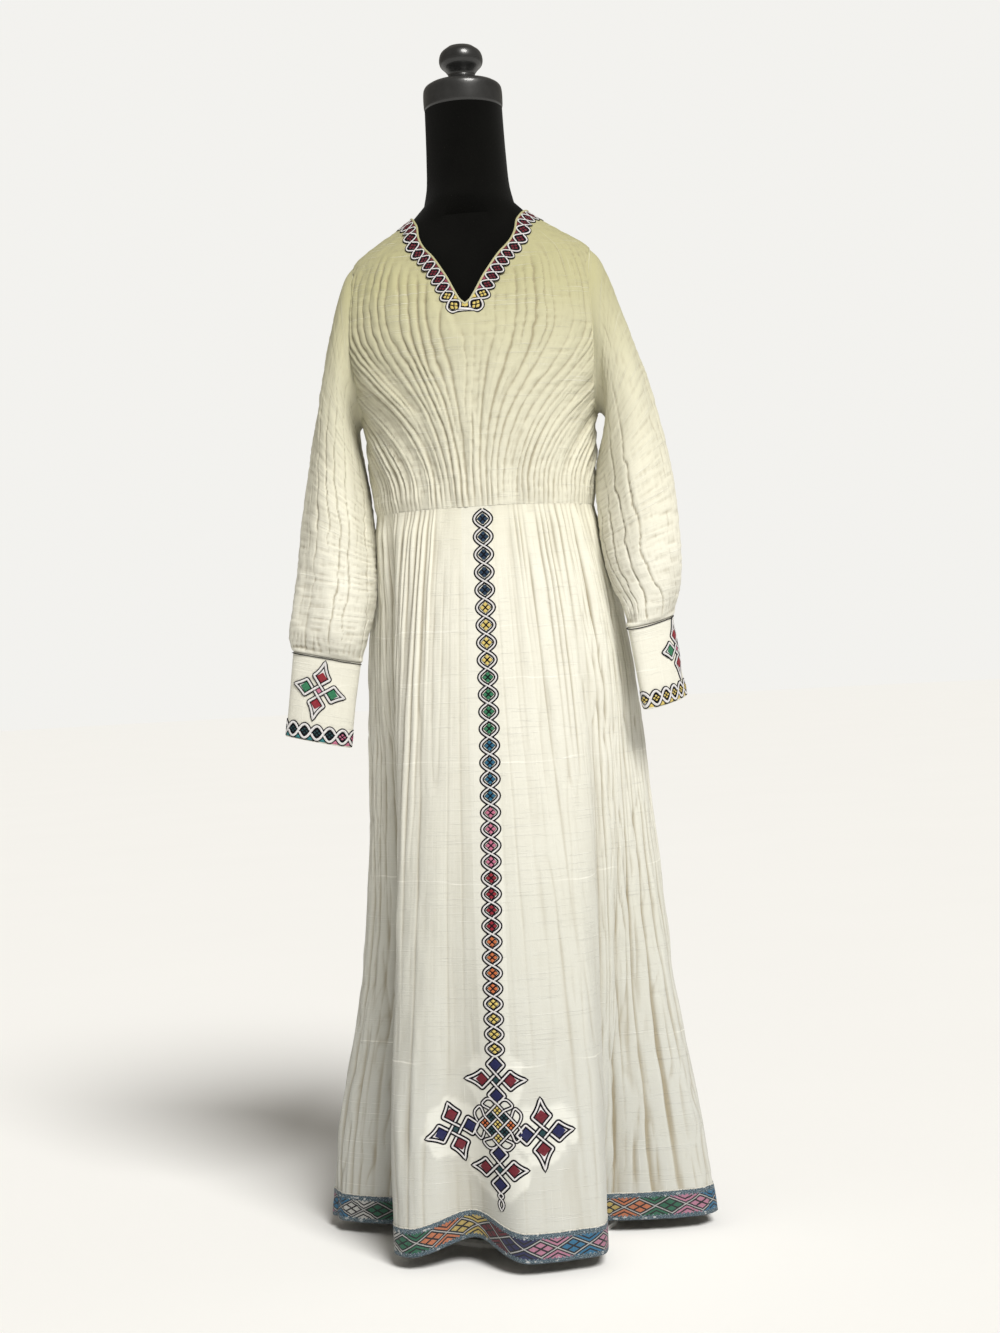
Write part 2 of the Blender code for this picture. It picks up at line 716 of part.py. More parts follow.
def make_form_torso(material):
    """The torso and neck in one smooth solid. Its shoulders carry the dress."""
    rings = []
    for height, share in FORM_BOTTOM_ROUND:
        _, half_width, front, behind = FORM_SECTIONS[0]
        rings.append(form_ring(half_width * share, front * share, behind * share, height))
    low, high = FORM_SECTIONS[0][0], FORM_SECTIONS[-1][0]
    steps = 14
    for k in range(steps + 1):
        height = blend(low, high, k / steps)
        rings.append(form_ring(*read_table(FORM_SECTIONS, height), height))
    for height in FORM_SHOULDER_HEIGHTS:
        half_width, front, behind = read_table(BODICE_SECTIONS, height + FORM_DROP)
        ring = form_ring(half_width, front - FORM_INSET, behind - FORM_INSET, height)
        rings.append(ring)
    for height, radius, middle_y in FORM_NECK:
        rings.append(form_ring(radius, radius, radius, height, middle_y))
    return closed_solid("form_torso", rings, material, sharp=60)


def main():
    remove_old_objects()
    cotton = make_material("cream_cotton", (0.80, 0.76, 0.62), 0.92)
    woven = make_material("woven_band", (0.20, 0.28, 0.38), 0.85)
    stitched = make_material("embroidered_trim", (0.45, 0.10, 0.14), 0.75)
    jersey = make_material("black_jersey", (0.012, 0.012, 0.013), 0.85)
    lacquer = make_material("black_lacquer", (0.015, 0.015, 0.016), 0.35)
    steel = make_material("pale_painted_steel", (0.60, 0.60, 0.585), 0.55, 0.0)

    make_bodice("bodice_front", FRONT_ROWS, FRONT_PLEATS, cotton)
    make_bodice("bodice_back", BACK_ROWS, BACK_PLEATS, cotton)
    for panel in dict.fromkeys(row[0] for row in SKIRT_STRETCHES):
        make_skirt_panel(panel, cotton)
    make_sleeve("sleeve_right", RIGHT_SLEEVE, -1, cotton)
    make_sleeve("sleeve_left", LEFT_SLEEVE, 1, cotton)
    make_cuff("cuff_right", RIGHT_SLEEVE[-1], RIGHT_CUFF_END, -1, cotton)
    make_cuff("cuff_left", LEFT_SLEEVE[-1], LEFT_CUFF_END, 1, cotton)
    make_hem_band(woven)
    make_neck_trim(stitched)

    make_form_torso(jersey)
    make_turned("form_neck_cap", NECK_CAP_PROFILE, FINIAL_Y, lacquer)
    make_turned("form_finial", FINIAL_PROFILE, FINIAL_Y, lacquer)
    pole_top = FORM_BOTTOM_ROUND[0][0] - SEAM_GAP
    pole = ((0, POLE_BOTTOM), (POLE_RADIUS, POLE_BOTTOM), (POLE_RADIUS, pole_top), (0, pole_top))
    make_turned("stand_pole", pole, 0.0, steel)
    make_turned("stand_base", FOOT_PROFILE, 0.0, steel)


main()
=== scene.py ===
"""Looks for a habesha kemis, a long gathered cotton dress, on a limbless dress form.

Units are metres and degrees, +Z up. The front faces -Y and the wearer's right side is -X.
An angle goes round the body from the middle of the front, positive to the wearer's left.
"""

import math

import bmesh
import bpy
import numpy as np
from mathutils import Matrix, Vector


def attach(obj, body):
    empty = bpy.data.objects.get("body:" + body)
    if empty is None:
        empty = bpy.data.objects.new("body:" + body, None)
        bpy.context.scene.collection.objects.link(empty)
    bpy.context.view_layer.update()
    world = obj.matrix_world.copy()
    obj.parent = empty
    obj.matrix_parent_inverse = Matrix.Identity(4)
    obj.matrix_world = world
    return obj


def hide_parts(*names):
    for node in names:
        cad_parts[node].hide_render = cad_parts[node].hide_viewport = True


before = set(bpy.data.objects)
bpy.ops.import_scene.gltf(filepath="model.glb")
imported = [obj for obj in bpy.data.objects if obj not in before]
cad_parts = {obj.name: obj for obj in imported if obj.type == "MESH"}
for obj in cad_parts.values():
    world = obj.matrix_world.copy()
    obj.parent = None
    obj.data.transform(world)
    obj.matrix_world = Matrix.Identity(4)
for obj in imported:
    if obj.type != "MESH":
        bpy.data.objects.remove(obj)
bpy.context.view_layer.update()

# Sizes that the cloth shares with the part
WAIST_HEIGHT = 1.010
SEAM_GAP = 0.0003

# height, half width, depth in front, depth behind
BODICE_SECTIONS = (
    (1.010, 0.1500, 0.1170, 0.1050), (1.060, 0.1530, 0.1220, 0.1080),
    (1.135, 0.1650, 0.1320, 0.1150), (1.200, 0.1830, 0.1350, 0.1200),
    (1.250, 0.1900, 0.1320, 0.1200), (1.300, 0.1900, 0.1180, 0.1120),
    (1.340, 0.1825, 0.0980, 0.0980), (1.372, 0.1680, 0.0790, 0.0800),
    (1.391, 0.1460, 0.0690, 0.0700), (1.411, 0.1140, 0.0620, 0.0630),
    (1.432, 0.0830, 0.0570, 0.0580), (1.450, 0.0680, 0.0550, 0.0560),
)
# angle, height
NECKLINE = (
    (0.0, 1.2870), (2.5, 1.2950), (8.7, 1.3325), (17.2, 1.3670),
    (41.0, 1.4145), (90.0, 1.4320), (135.0, 1.4200), (180.0, 1.4080),
)
NECK_TRIM_WIDTH = 0.026
ARMHOLE_TOP = 1.3720
ARMHOLE_BOTTOM = 1.1350
ARMHOLE_HALF_DEPTH = 0.0600

# Rows of the bodice panels: start angle, start height, end height, armhole station.
# A row with no start height starts on the neckline, one with a station ends on the armhole.
FRONT_ROWS = (
    (0.0, 1.010, 1.010, None), (0.0, 1.052, 1.040, None), (0.0, 1.094, 1.072, None),
    (0.0, 1.135, 1.104, None), (0.0, 1.175, None, -180.0), (0.0, 1.213, None, -162.0),
    (0.0, 1.250, None, -144.0), (0.0, None, None, -126.0), (6.0, None, None, -108.0),
    (13.0, None, None, -90.0), (24.0, None, None, -72.0), (41.0, None, None, -54.0),
)
BACK_ROWS = (
    (180.0, 1.010, 1.010, None), (180.0, 1.055, 1.040, None), (180.0, 1.095, 1.072, None),
    (180.0, 1.135, 1.104, None), (180.0, 1.172, None, 180.0), (180.0, 1.215, None, 162.0),
    (180.0, 1.262, None, 144.0), (180.0, 1.308, None, 126.0), (180.0, 1.350, None, 108.0),
    (180.0, 1.384, None, 90.0), (180.0, None, None, 72.0), (156.0, None, None, 54.0),
    (132.0, None, None, 36.0), (110.0, None, None, 18.0), (90.0, None, None, 0.0),
    (75.0, None, None, -18.0), (58.0, None, None, -36.0), (41.0, None, None, -54.0),
)

# height, half width at the right, half width at the left, depth in front, depth behind
SKIRT_SECTIONS = (
    (1.010, 0.1500, 0.1500, 0.1170, 0.1050), (0.950, 0.1575, 0.1600, 0.1290, 0.1180),
    (0.884, 0.1650, 0.1740, 0.1420, 0.1320), (0.742, 0.1800, 0.1970, 0.1660, 0.1560),
    (0.599, 0.1900, 0.2110, 0.1900, 0.1780), (0.457, 0.2000, 0.2230, 0.2140, 0.2000),
    (0.314, 0.2180, 0.2360, 0.2380, 0.2240), (0.172, 0.2500, 0.2560, 0.2580, 0.2460),
    (0.018, 0.2640, 0.2740, 0.2740, 0.2620),
)
HEM_HEIGHT = 0.018
HEM_BAND_HEIGHT = 0.038
# angle at the waist, angle at the hem, half width, depth at the waist, depth at the hem,
# how fast it fades upwards, how far it lifts the hem
SKIRT_VALLEYS = (
    (-70.0, -58.0, 28.0, 0.010, 0.125, 1.3, 0.000), (64.0, 53.5, 30.0, 0.000, 0.135, 2.2, 0.000),
    (-12.0, -11.0, 19.0, 0.000, 0.060, 3.5, 0.020), (125.0, 127.0, 20.0, 0.004, 0.070, 1.6, 0.006),
    (-124.0, -128.0, 21.0, 0.004, 0.074, 1.6, 0.008), (160.0, 163.0, 15.0, 0.003, 0.048, 1.8, 0.004),
    (-163.0, -165.0, 14.0, 0.002, 0.042, 2.0, 0.000), (92.0, 100.0, 10.0, 0.000, 0.024, 2.5, 0.004),
    (-98.0, -101.0, 9.0, 0.000, 0.020, 2.5, 0.003), (-60.0, -52.0, 8.5, 0.010, 0.026, 0.6, 0.000),
    (56.0, 47.0, 7.0, 0.002, 0.016, 1.4, 0.000),
)
# start angle, end angle, folds, how deep, how far down
GATHERS = (
    (-62.0, -27.0, 12, 0.92, 1.00), (21.0, 60.0, 11, 0.66, 0.62), (60.0, 122.0, 12, 0.70, 0.80),
    (122.0, 238.0, 20, 0.80, 0.80), (238.0, 298.0, 12, 0.75, 0.90),
)
GATHER_DEPTH = 0.0060
CROSS_MIDDLE = (0.0, 0.1930)

# inner x, inner height, outer x, outer height, middle y, half depth, turn
RIGHT_SLEEVE = (
    (0.1690, 1.1410, 0.1810, 1.3570, 0.000, 0.0615, 0.0),
    (0.1740, 1.1370, 0.1915, 1.3290, 0.000, 0.0640, 0.0),
    (0.1765, 1.1230, 0.2030, 1.2850, -0.002, 0.0665, 0.0),
    (0.1765, 1.0980, 0.2170, 1.2330, -0.005, 0.0670, 0.0),
    (0.1740, 1.0600, 0.2330, 1.1700, -0.010, 0.0655, 0.0),
    (0.1680, 1.0100, 0.2465, 1.0880, -0.017, 0.0620, 0.0),
    (0.1650, 0.9580, 0.2590, 1.0060, -0.026, 0.0570, 0.0),
    (0.1670, 0.9060, 0.2680, 0.9300, -0.036, 0.0510, 0.0),
    (0.1710, 0.8640, 0.2750, 0.8820, -0.044, 0.0450, 0.0),
    (0.1755, 0.8320, 0.2800, 0.8510, -0.049, 0.0360, 0.0),
    (0.1820, 0.8040, 0.2770, 0.8260, -0.050, 0.0210, 0.0),
)
RIGHT_CUFF_END = (0.2010, 0.6870, 0.2930, 0.7080, -0.056, 0.0185, 0.0)
LEFT_SLEEVE = (
    (0.1690, 1.1410, 0.1810, 1.3570, 0.000, 0.0615, 0.0),
    (0.1740, 1.1370, 0.1920, 1.3290, 0.000, 0.0640, 0.0),
    (0.1765, 1.1230, 0.2050, 1.2850, -0.002, 0.0665, 0.0),
    (0.1765, 1.0980, 0.2225, 1.2370, -0.005, 0.0670, 0.0),
    (0.1750, 1.0600, 0.2410, 1.1800, -0.012, 0.0655, 2.0),
    (0.1710, 1.0100, 0.2590, 1.0980, -0.022, 0.0620, 4.0),
    (0.1700, 0.9560, 0.2720, 1.0060, -0.034, 0.0570, 8.0),
    (0.1750, 0.9140, 0.2740, 0.9440, -0.044, 0.0500, 15.0),
    (0.1800, 0.8870, 0.2730, 0.9060, -0.049, 0.0420, 28.0),
    (0.1830, 0.8640, 0.2760, 0.8800, -0.052, 0.0310, 44.0),
    (0.1820, 0.8330, 0.2730, 0.8500, -0.052, 0.0200, 55.0),
)
LEFT_CUFF_END = (0.1970, 0.7210, 0.2870, 0.7380, -0.058, 0.0180, 55.0)

# The form: height, half width, depth in front, depth behind
FORM_SECTIONS = (
    (0.735, 0.1390, 0.0960, 0.0930), (0.790, 0.1450, 0.1010, 0.0990),
    (0.850, 0.1430, 0.1010, 0.0980), (0.930, 0.1290, 0.0940, 0.0890),
    (1.020, 0.1180, 0.0880, 0.0820), (1.100, 0.1290, 0.0990, 0.0880),
    (1.180, 0.1440, 0.1120, 0.0970), (1.250, 0.1500, 0.1120, 0.1000),
    (1.310, 0.1500, 0.0980, 0.0940), (1.345, 0.1490, 0.0830, 0.0840),
    (1.368, 0.1495, 0.0740, 0.0750),
)
FORM_SHOULDER_HEIGHTS = (1.387, 1.407, 1.425)
# height, share of the lowest section
FORM_UNDERSIDE = ((0.7200, 0.72), (0.7235, 0.90))
FORM_DROP = 0.0042
FORM_INSET = 0.0038
# height, radius, middle y
FORM_NECK = (
    (1.446, 0.0645, -0.001), (1.472, 0.0590, -0.003), (1.510, 0.0568, -0.006),
    (1.548, 0.0556, -0.009), (1.580, 0.0550, -0.011),
)
# radius, height
NECK_CAP_PROFILE = (
    (0.0000, 1.5803), (0.0545, 1.5803), (0.0560, 1.5850), (0.0560, 1.6040),
    (0.0535, 1.6120), (0.0470, 1.6165), (0.0000, 1.6175),
)
FINIAL_PROFILE = (
    (0.0000, 1.6178), (0.0290, 1.6178), (0.0300, 1.6205), (0.0215, 1.6245),
    (0.0190, 1.6295), (0.0230, 1.6360), (0.0295, 1.6430), (0.0310, 1.6520),
    (0.0275, 1.6620), (0.0180, 1.6695), (0.0000, 1.6725),
)
FINIAL_Y = -0.011


# Curves and noise
def blend(start, end, share):
    return start + (end - start) * share


def smooth_step(value):
    value = np.clip(value, 0.0, 1.0)
    return value * value * (3 - 2 * value)


def read_table(table, at):
    """The columns of a table at places in its first column, on a smooth curve through the
    rows, which may run up or down."""
    rows = np.array(table, float)
    if rows[0, 0] > rows[-1, 0]:
        rows = rows[::-1]
    where = rows[:, 0]
    last = len(rows) - 1
    at = np.clip(np.asarray(at, float), where[0], where[-1])
    k = np.clip(np.searchsorted(where, at, side="left") - 1, 0, last - 1)
    low, high = rows[k], rows[k + 1]
    before, after = rows[np.maximum(k - 1, 0)], rows[np.minimum(k + 2, last)]
    span = (high[..., :1] - low[..., :1])
    t = (at[..., None] - low[..., :1]) / span
    rise_low = (high - before) / (high[..., :1] - before[..., :1]) * span
    rise_high = (after - low) / (after[..., :1] - low[..., :1]) * span
    t2, t3 = t * t, t * t * t
    read = (
        (2 * t3 - 3 * t2 + 1) * low
        + (t3 - 2 * t2 + t) * rise_low
        + (3 * t2 - 2 * t3) * high
        + (t3 - t2) * rise_high
    )
    return [read[..., c] for c in range(1, rows.shape[1])]


def lattice(i, j, seed):
    """A fixed scattered number from 0 to 1 at each whole-numbered place."""
    value = np.sin(i * 127.1 + j * 311.7 + seed * 74.7) * 43758.5453
    return value - np.floor(value)


def noise(x, y, seed, period=0):
    """Smooth noise from -1 to 1 with one bump to each unit, which may repeat in x."""
    x, y = np.broadcast_arrays(np.asarray(x, float), np.asarray(y, float))
    i, j = np.floor(x), np.floor(y)
    s, t = smooth_step(x - i), smooth_step(y - j)
    i_next = i + 1
    if period:
        i, i_next = i % period, i_next % period
    low = blend(lattice(i, j, seed), lattice(i_next, j, seed), s)
    high = blend(lattice(i, j + 1, seed), lattice(i_next, j + 1, seed), s)
    return 2 * blend(low, high, t) - 1


def normalise(vectors):
    return vectors / np.maximum(np.linalg.norm(vectors, axis=-1, keepdims=True), 1e-12)


def spread(values, reach, axis, wrap):
    """Each value's mean over its neighbours, reach steps both ways along an axis."""
    pad = [(0, 0)] * values.ndim
    pad[axis] = (reach + 1, reach)
    total = np.cumsum(np.pad(values, pad, mode="wrap" if wrap else "edge"), axis=axis)
    size = values.shape[axis]
    high = np.take(total, np.arange(size) + 2 * reach + 1, axis=axis)
    low = np.take(total, np.arange(size), axis=axis)
    return (high - low) / (2 * reach + 1)


def hollows(relief, reach_down, reach_round, full, wrap=False):
    """How hollow each place of a relief is, from 0 to 1: 1 lies full below its mean."""
    around = spread(spread(relief, reach_down, 0, False), reach_round, 1, wrap)
    return np.clip((around - relief) / full, 0, 1)


def lengths_along(points):
    """The distance covered at each of a row of points."""
    steps = np.linalg.norm(np.diff(points, axis=0), axis=-1)
    return np.concatenate([[0.0], np.cumsum(steps)])


# The bodice's surface
def bodice_base(angle, height):
    """A point of the bodice's outer face, without pleats."""
    angle, height = np.broadcast_arrays(np.asarray(angle, float), np.asarray(height, float))
    half_width, front, behind = read_table(BODICE_SECTIONS, height)
    turn = np.radians(angle)
    depth = np.where(np.cos(turn) > 0, front, behind)
    return np.stack([half_width * np.sin(turn), -depth * np.cos(turn), height], -1)


def bodice_outward(angle, height):
    across = bodice_base(angle + 0.5, height) - bodice_base(angle - 0.5, height)
    up = bodice_base(angle, height + 0.002) - bodice_base(angle, height - 0.002)
    return normalise(np.cross(across, up))


def neckline_height(angle):
    return read_table(NECKLINE, np.abs(angle))[0]


def armhole_place(station):
    """The angle and height of stations on the armhole."""
    turn = np.radians(station)
    middle = (ARMHOLE_TOP + ARMHOLE_BOTTOM) / 2
    height = middle + (ARMHOLE_TOP - ARMHOLE_BOTTOM) / 2 * np.cos(turn)
    y = ARMHOLE_HALF_DEPTH * np.sin(turn)
    _, front, behind = read_table(BODICE_SECTIONS, height)
    depth = np.where(y < 0, front, behind)
    return np.degrees(np.arccos(-y / depth)), height


PLEAT_PITCH = 0.0130
PLEAT_DEPTH = 0.0034
PLAIN_NEAR_NECK = 0.030
DRAWN_IN_BELOW = 1.275
DRAWN_IN_OVER = 0.240
DRAWN_IN_BY = 1.15


def bodice_relief(angle, height):
    """How far the bodice's crinkled pleats stand out. They hang straight on the chest, and
    lower down they run together in pairs and in towards the middle of the waist."""
    turned = np.where(np.abs(angle) > 90, np.copysign(180, angle) - angle, angle)
    across = np.radians(turned) * 0.150
    drawn = smooth_step((DRAWN_IN_BELOW - height) / DRAWN_IN_OVER)
    line = across * np.exp(DRAWN_IN_BY * drawn)
    side = np.sign(np.cos(np.radians(angle)))
    seed = np.where(side > 0, 3, 8)
    wander = (
        0.80 * noise(line / 0.042, height / 0.150, seed)
        + 0.26 * noise(line / 0.019, height / 0.048, seed + 1)
        + 0.09 * noise(line / 0.008, height / 0.012, seed + 6)
    )
    count = line / PLEAT_PITCH + wander
    single = np.abs(np.sin(np.pi * count)) ** 0.55
    pair = 1.25 * np.abs(np.sin(np.pi * count / 2)) ** 0.55
    merged = smooth_step(0.5 + 2.2 * noise(line / 0.045, height / 0.13, seed + 7) - 0.35)
    ridge = blend(single, pair, np.clip(merged + 1.5 * drawn - 0.4, 0, 1))
    strength = 0.72 + 0.85 * noise(np.floor(count) * 0.37, height / 0.090, seed + 2)
    below_neck = neckline_height(angle) - height
    grow = smooth_step((below_neck - PLAIN_NEAR_NECK) / 0.035)
    near_side = smooth_step(np.abs(np.abs(turned) - 90) / 9)
    chest = 0.30 + 0.70 * smooth_step((1.385 - height) / 0.055)
    seam = 0.30 + 0.70 * smooth_step((height - WAIST_HEIGHT) / 0.020)
    pleats = PLEAT_DEPTH * ridge * strength * grow * chest * (0.45 + 0.55 * near_side) * seam
    soft = 0.0022 * noise(line / 0.045, height / 0.110, seed + 3) * (0.4 + 0.6 * chest)
    fine = 0.00045 * noise(line / 0.0050, height / 0.012, seed + 4)
    level = 0.00050 * noise(line / 0.020, height / 0.0052, seed + 5)
    full = 0.0050 * np.sin(np.radians(angle)) ** 2 * smooth_step((1.13 - height) / 0.05)
    return pleats + (soft + fine + level) * smooth_step(below_neck / 0.03) * seam - 0.0006 + full


def bodice_surface(angle, height, out=0.0):
    lifted = bodice_relief(angle, height) + out
    return bodice_base(angle, height) + bodice_outward(angle, height) * lifted[..., None]


# The skirt's surface
def angle_apart(angle, other):
    return (angle - other + 180.0) % 360.0 - 180.0


def hem_height(angle):
    height = np.full(np.shape(angle), HEM_HEIGHT)
    for _, at_hem, half_width, _, _, _, lift in SKIRT_VALLEYS:
        off = np.minimum(np.abs(angle_apart(angle, at_hem)) / half_width, 1)
        height = height + lift * np.cos(off * math.pi / 2) ** 2
    return height


def skirt_radius(angle, height):
    """How far the skirt's outer face is from the middle, with its large folds."""
    right, left, front, behind = read_table(SKIRT_SECTIONS, height)
    turn = np.radians(angle)
    half_width = np.where(np.sin(turn) > 0, left, right)
    depth = np.where(np.cos(turn) > 0, front, behind)
    radius = 1 / np.hypot(np.sin(turn) / half_width, np.cos(turn) / depth)
    down = np.clip((WAIST_HEIGHT - height) / (WAIST_HEIGHT - HEM_HEIGHT), 0, 1)
    for at_waist, at_hem, half, top_depth, hem_depth, power, _ in SKIRT_VALLEYS:
        off = np.abs(angle_apart(angle, blend(at_waist, at_hem, down))) / half
        off = np.minimum(off, 1)
        depth_here = blend(top_depth * np.minimum(down * 8, 1), hem_depth, down**power)
        radius = radius - depth_here * np.cos(off * math.pi / 2) ** 2
    return radius


def calm_near_embroidery(angle, height):
    """0 to 1: the backed cloth behind the chain and the cross stays nearly flat."""
    across = np.radians(angle_apart(angle, 0)) * 0.23
    from_cross = np.hypot(across, height - CROSS_MIDDLE[1]) - 0.075
    from_chain = np.abs(across) - 0.014
    return 0.12 + 0.88 * smooth_step(np.minimum(from_chain, np.maximum(from_cross, -0.01)) / 0.030)


def skirt_relief(angle, height):
    """How far the skirt's gathers, long folds and crinkle stand out."""
    angle = angle % 360.0
    down = np.clip((WAIST_HEIGHT - height) / (WAIST_HEIGHT - HEM_HEIGHT), 0, 1)
    from_middle = np.abs(angle_apart(angle, 0))
    relief = np.zeros(np.broadcast(angle, height).shape)
    sway = (
        0.9 * noise(angle / 9, height / 0.16, 21, 40)
        + 0.45 * noise(angle / 3, height / 0.06, 22, 120)
    )
    for start, end, folds, deep, far in GATHERS:
        share = ((angle - start) % 360.0) / (end - start)
        edge = np.clip(np.minimum(share, 1 - share) * folds, 0, 1)
        shifted = 0.75 * noise(share * folds / 2.3, down * 1.2, 23) * edge
        swayed = sway * edge * folds / (end - start) * (0.3 + 1.7 * down)
        count = share * folds + shifted + swayed
        fold = np.floor(count)
        reach = (0.16 + 1.05 * lattice(fold, start, 5) ** 1.4) * far
        fade = smooth_step(1 - down / reach) ** 0.75
        height_of = (0.18 + 1.20 * lattice(fold, start, 9)) * deep
        ridge = np.abs(np.sin(np.pi * count)) ** 0.7
        relief = relief + np.where(share < 1, GATHER_DEPTH * ridge * fade * height_of, 0.0)
    at_sides = np.sin(np.radians(angle)) ** 2
    relief = (
        relief * (0.30 + 0.70 * smooth_step(down * 30))
        + 0.0045 * at_sides * smooth_step(1 - down * 9)
    )
    side = smooth_step((from_middle - 42) / 20)
    middle = 0.50 + 0.50 * smooth_step((from_middle - 14) / 14)
    long_folds = noise(angle / 10, height / 0.60 + 0.3 * sway, 31, 36)
    relief = relief + 0.0075 * down**0.8 * long_folds * middle
    narrow = 1 - 2.6 * np.abs(noise(angle / 4.5, height / 0.42 + 0.25 * sway, 33, 80))
    narrow = np.maximum(narrow, 0) ** 2
    relief = relief - (0.0012 + 0.0022 * side) * narrow * middle * smooth_step(down * 6)
    streaks = 1 - 3.0 * np.abs(noise(angle / 2.0, height / 0.13 + 0.35 * sway, 34, 180))
    streaks = np.maximum(streaks, 0) ** 1.5
    relief = relief - (0.0003 + 0.0016 * side) * streaks * middle * smooth_step(down * 9)
    wander = (
        0.9 * noise(angle / 6, height / 0.13, 38, 60)
        + 0.4 * noise(angle / 3, height / 0.036, 39, 120)
    )
    crumple = np.abs(np.sin(np.pi * (angle / 3.6 + wander))) ** 0.6
    uneven = 0.65 + 0.7 * noise(angle / 5, height / 0.09, 40, 72)
    relief = relief + 0.0021 * side * crumple * uneven * smooth_step(down * 6)
    crinkle = noise(angle / 1.0, height / 0.030, 35, 360)
    relief = relief + (0.00016 + 0.00050 * side) * crinkle * middle
    dents = noise(angle / 5, height / 0.05, 37, 72)
    relief = relief + 0.0009 * dents * middle
    ease = at_sides * smooth_step(down * 9) * smooth_step(2.2 - down * 6)
    return relief * calm_near_embroidery(angle, height) + 0.0060 * ease


def skirt_surface(angle, height, out=0.0):
    radius = skirt_radius(angle, height) + skirt_relief(angle, height) + out
    turn = np.radians(angle)
    height = np.broadcast_to(height, radius.shape)
    return np.stack([radius * np.sin(turn), -radius * np.cos(turn), height], -1)


def skirt_front_place(x, height, out):
    """The place on the skirt's front that is x to the left of the middle."""
    turn = x / 0.2
    for _ in range(6):
        angle = np.degrees(turn)
        radius = skirt_radius(angle, height) + skirt_relief(angle, height)
        turn = np.arcsin(np.clip(x / radius, -0.95, 0.95))
    return skirt_surface(np.degrees(turn), height, out)


# The sleeves' and cuffs' surfaces
def ring_points(row, side, station, ease=0.0):
    """Points at stations round one ring of a sleeve, counted from its top. Ease widens it
    towards the body."""
    inner_x, inner_z, outer_x, outer_z, middle_y, half_depth, turn = row
    inner_x = inner_x - ease
    angle = math.radians(turn)
    half = (outer_x - inner_x) / 2
    middle = np.array([(inner_x + outer_x) / 2, middle_y, (inner_z + outer_z) / 2])
    to_outer = np.array([half * math.cos(angle), half * math.sin(angle), (outer_z - inner_z) / 2])
    to_back = np.array([-math.sin(angle), math.cos(angle), 0]) * half_depth
    round_it = np.radians(station)[:, None]
    points = middle + to_outer * np.cos(round_it) + to_back * np.sin(round_it)
    return points * np.array([side, 1, 1])


def armhole_points(side, station):
    """The sleeve's first ring, drawn off the bodice's edge into the armhole."""
    station = (station + 180) % 360 - 180
    point = bodice_base(*armhole_place(station))
    into_hole = bodice_base(90.0, (ARMHOLE_TOP + ARMHOLE_BOTTOM) / 2) - point
    point = point + normalise(into_hole) * SEAM_GAP
    return point * np.array([side, 1, 1])


def under_armhole(side, station, reach):
    """The sleeve's edge turned in under the bodice, reach beyond the armhole."""
    angle, height = armhole_place((station + 180) % 360 - 180)
    point = bodice_base(angle, height)
    out_of_hole = point - bodice_base(90.0, (ARMHOLE_TOP + ARMHOLE_BOTTOM) / 2)
    sunk = bodice_outward(angle, height) * (0.0012 + reach * 0.5)
    point = point + normalise(out_of_hole) * reach - sunk
    return point * np.array([side, 1, 1])


def smooth_rows(rows, at):
    """A smooth run through rows of points, read at fractional row numbers."""
    last = len(rows) - 1
    k = np.clip(np.floor(at).astype(int), 0, last - 1)
    t = (at - k)[:, None, None]
    low, high = rows[k], rows[k + 1]
    rise_low = (high - rows[np.maximum(k - 1, 0)]) / np.where(k > 0, 2, 1)[:, None, None]
    rise_high = (rows[np.minimum(k + 2, last)] - low) / np.where(k < last - 1, 2, 1)[:, None, None]
    t2, t3 = t * t, t * t * t
    return (
        (2 * t3 - 3 * t2 + 1) * low + (t3 - 2 * t2 + t) * rise_low
        + (3 * t2 - 2 * t3) * high + (t3 - t2) * rise_high
    )


def tube_outward(points):
    """The direction out of a closed tube at each of its points."""
    round_it = np.roll(points, -1, axis=1) - np.roll(points, 1, axis=1)
    along = np.gradient(points, axis=0)
    out = normalise(np.cross(round_it, along))
    middle = points.mean(axis=1, keepdims=True)
    facing = np.sum(out * (points - middle), axis=-1, keepdims=True)
    return out * np.sign(facing.mean())


SLEEVE_CREASES = 18
SLEEVE_LIP = 0.009
SLEEVE_EASE = 0.0085


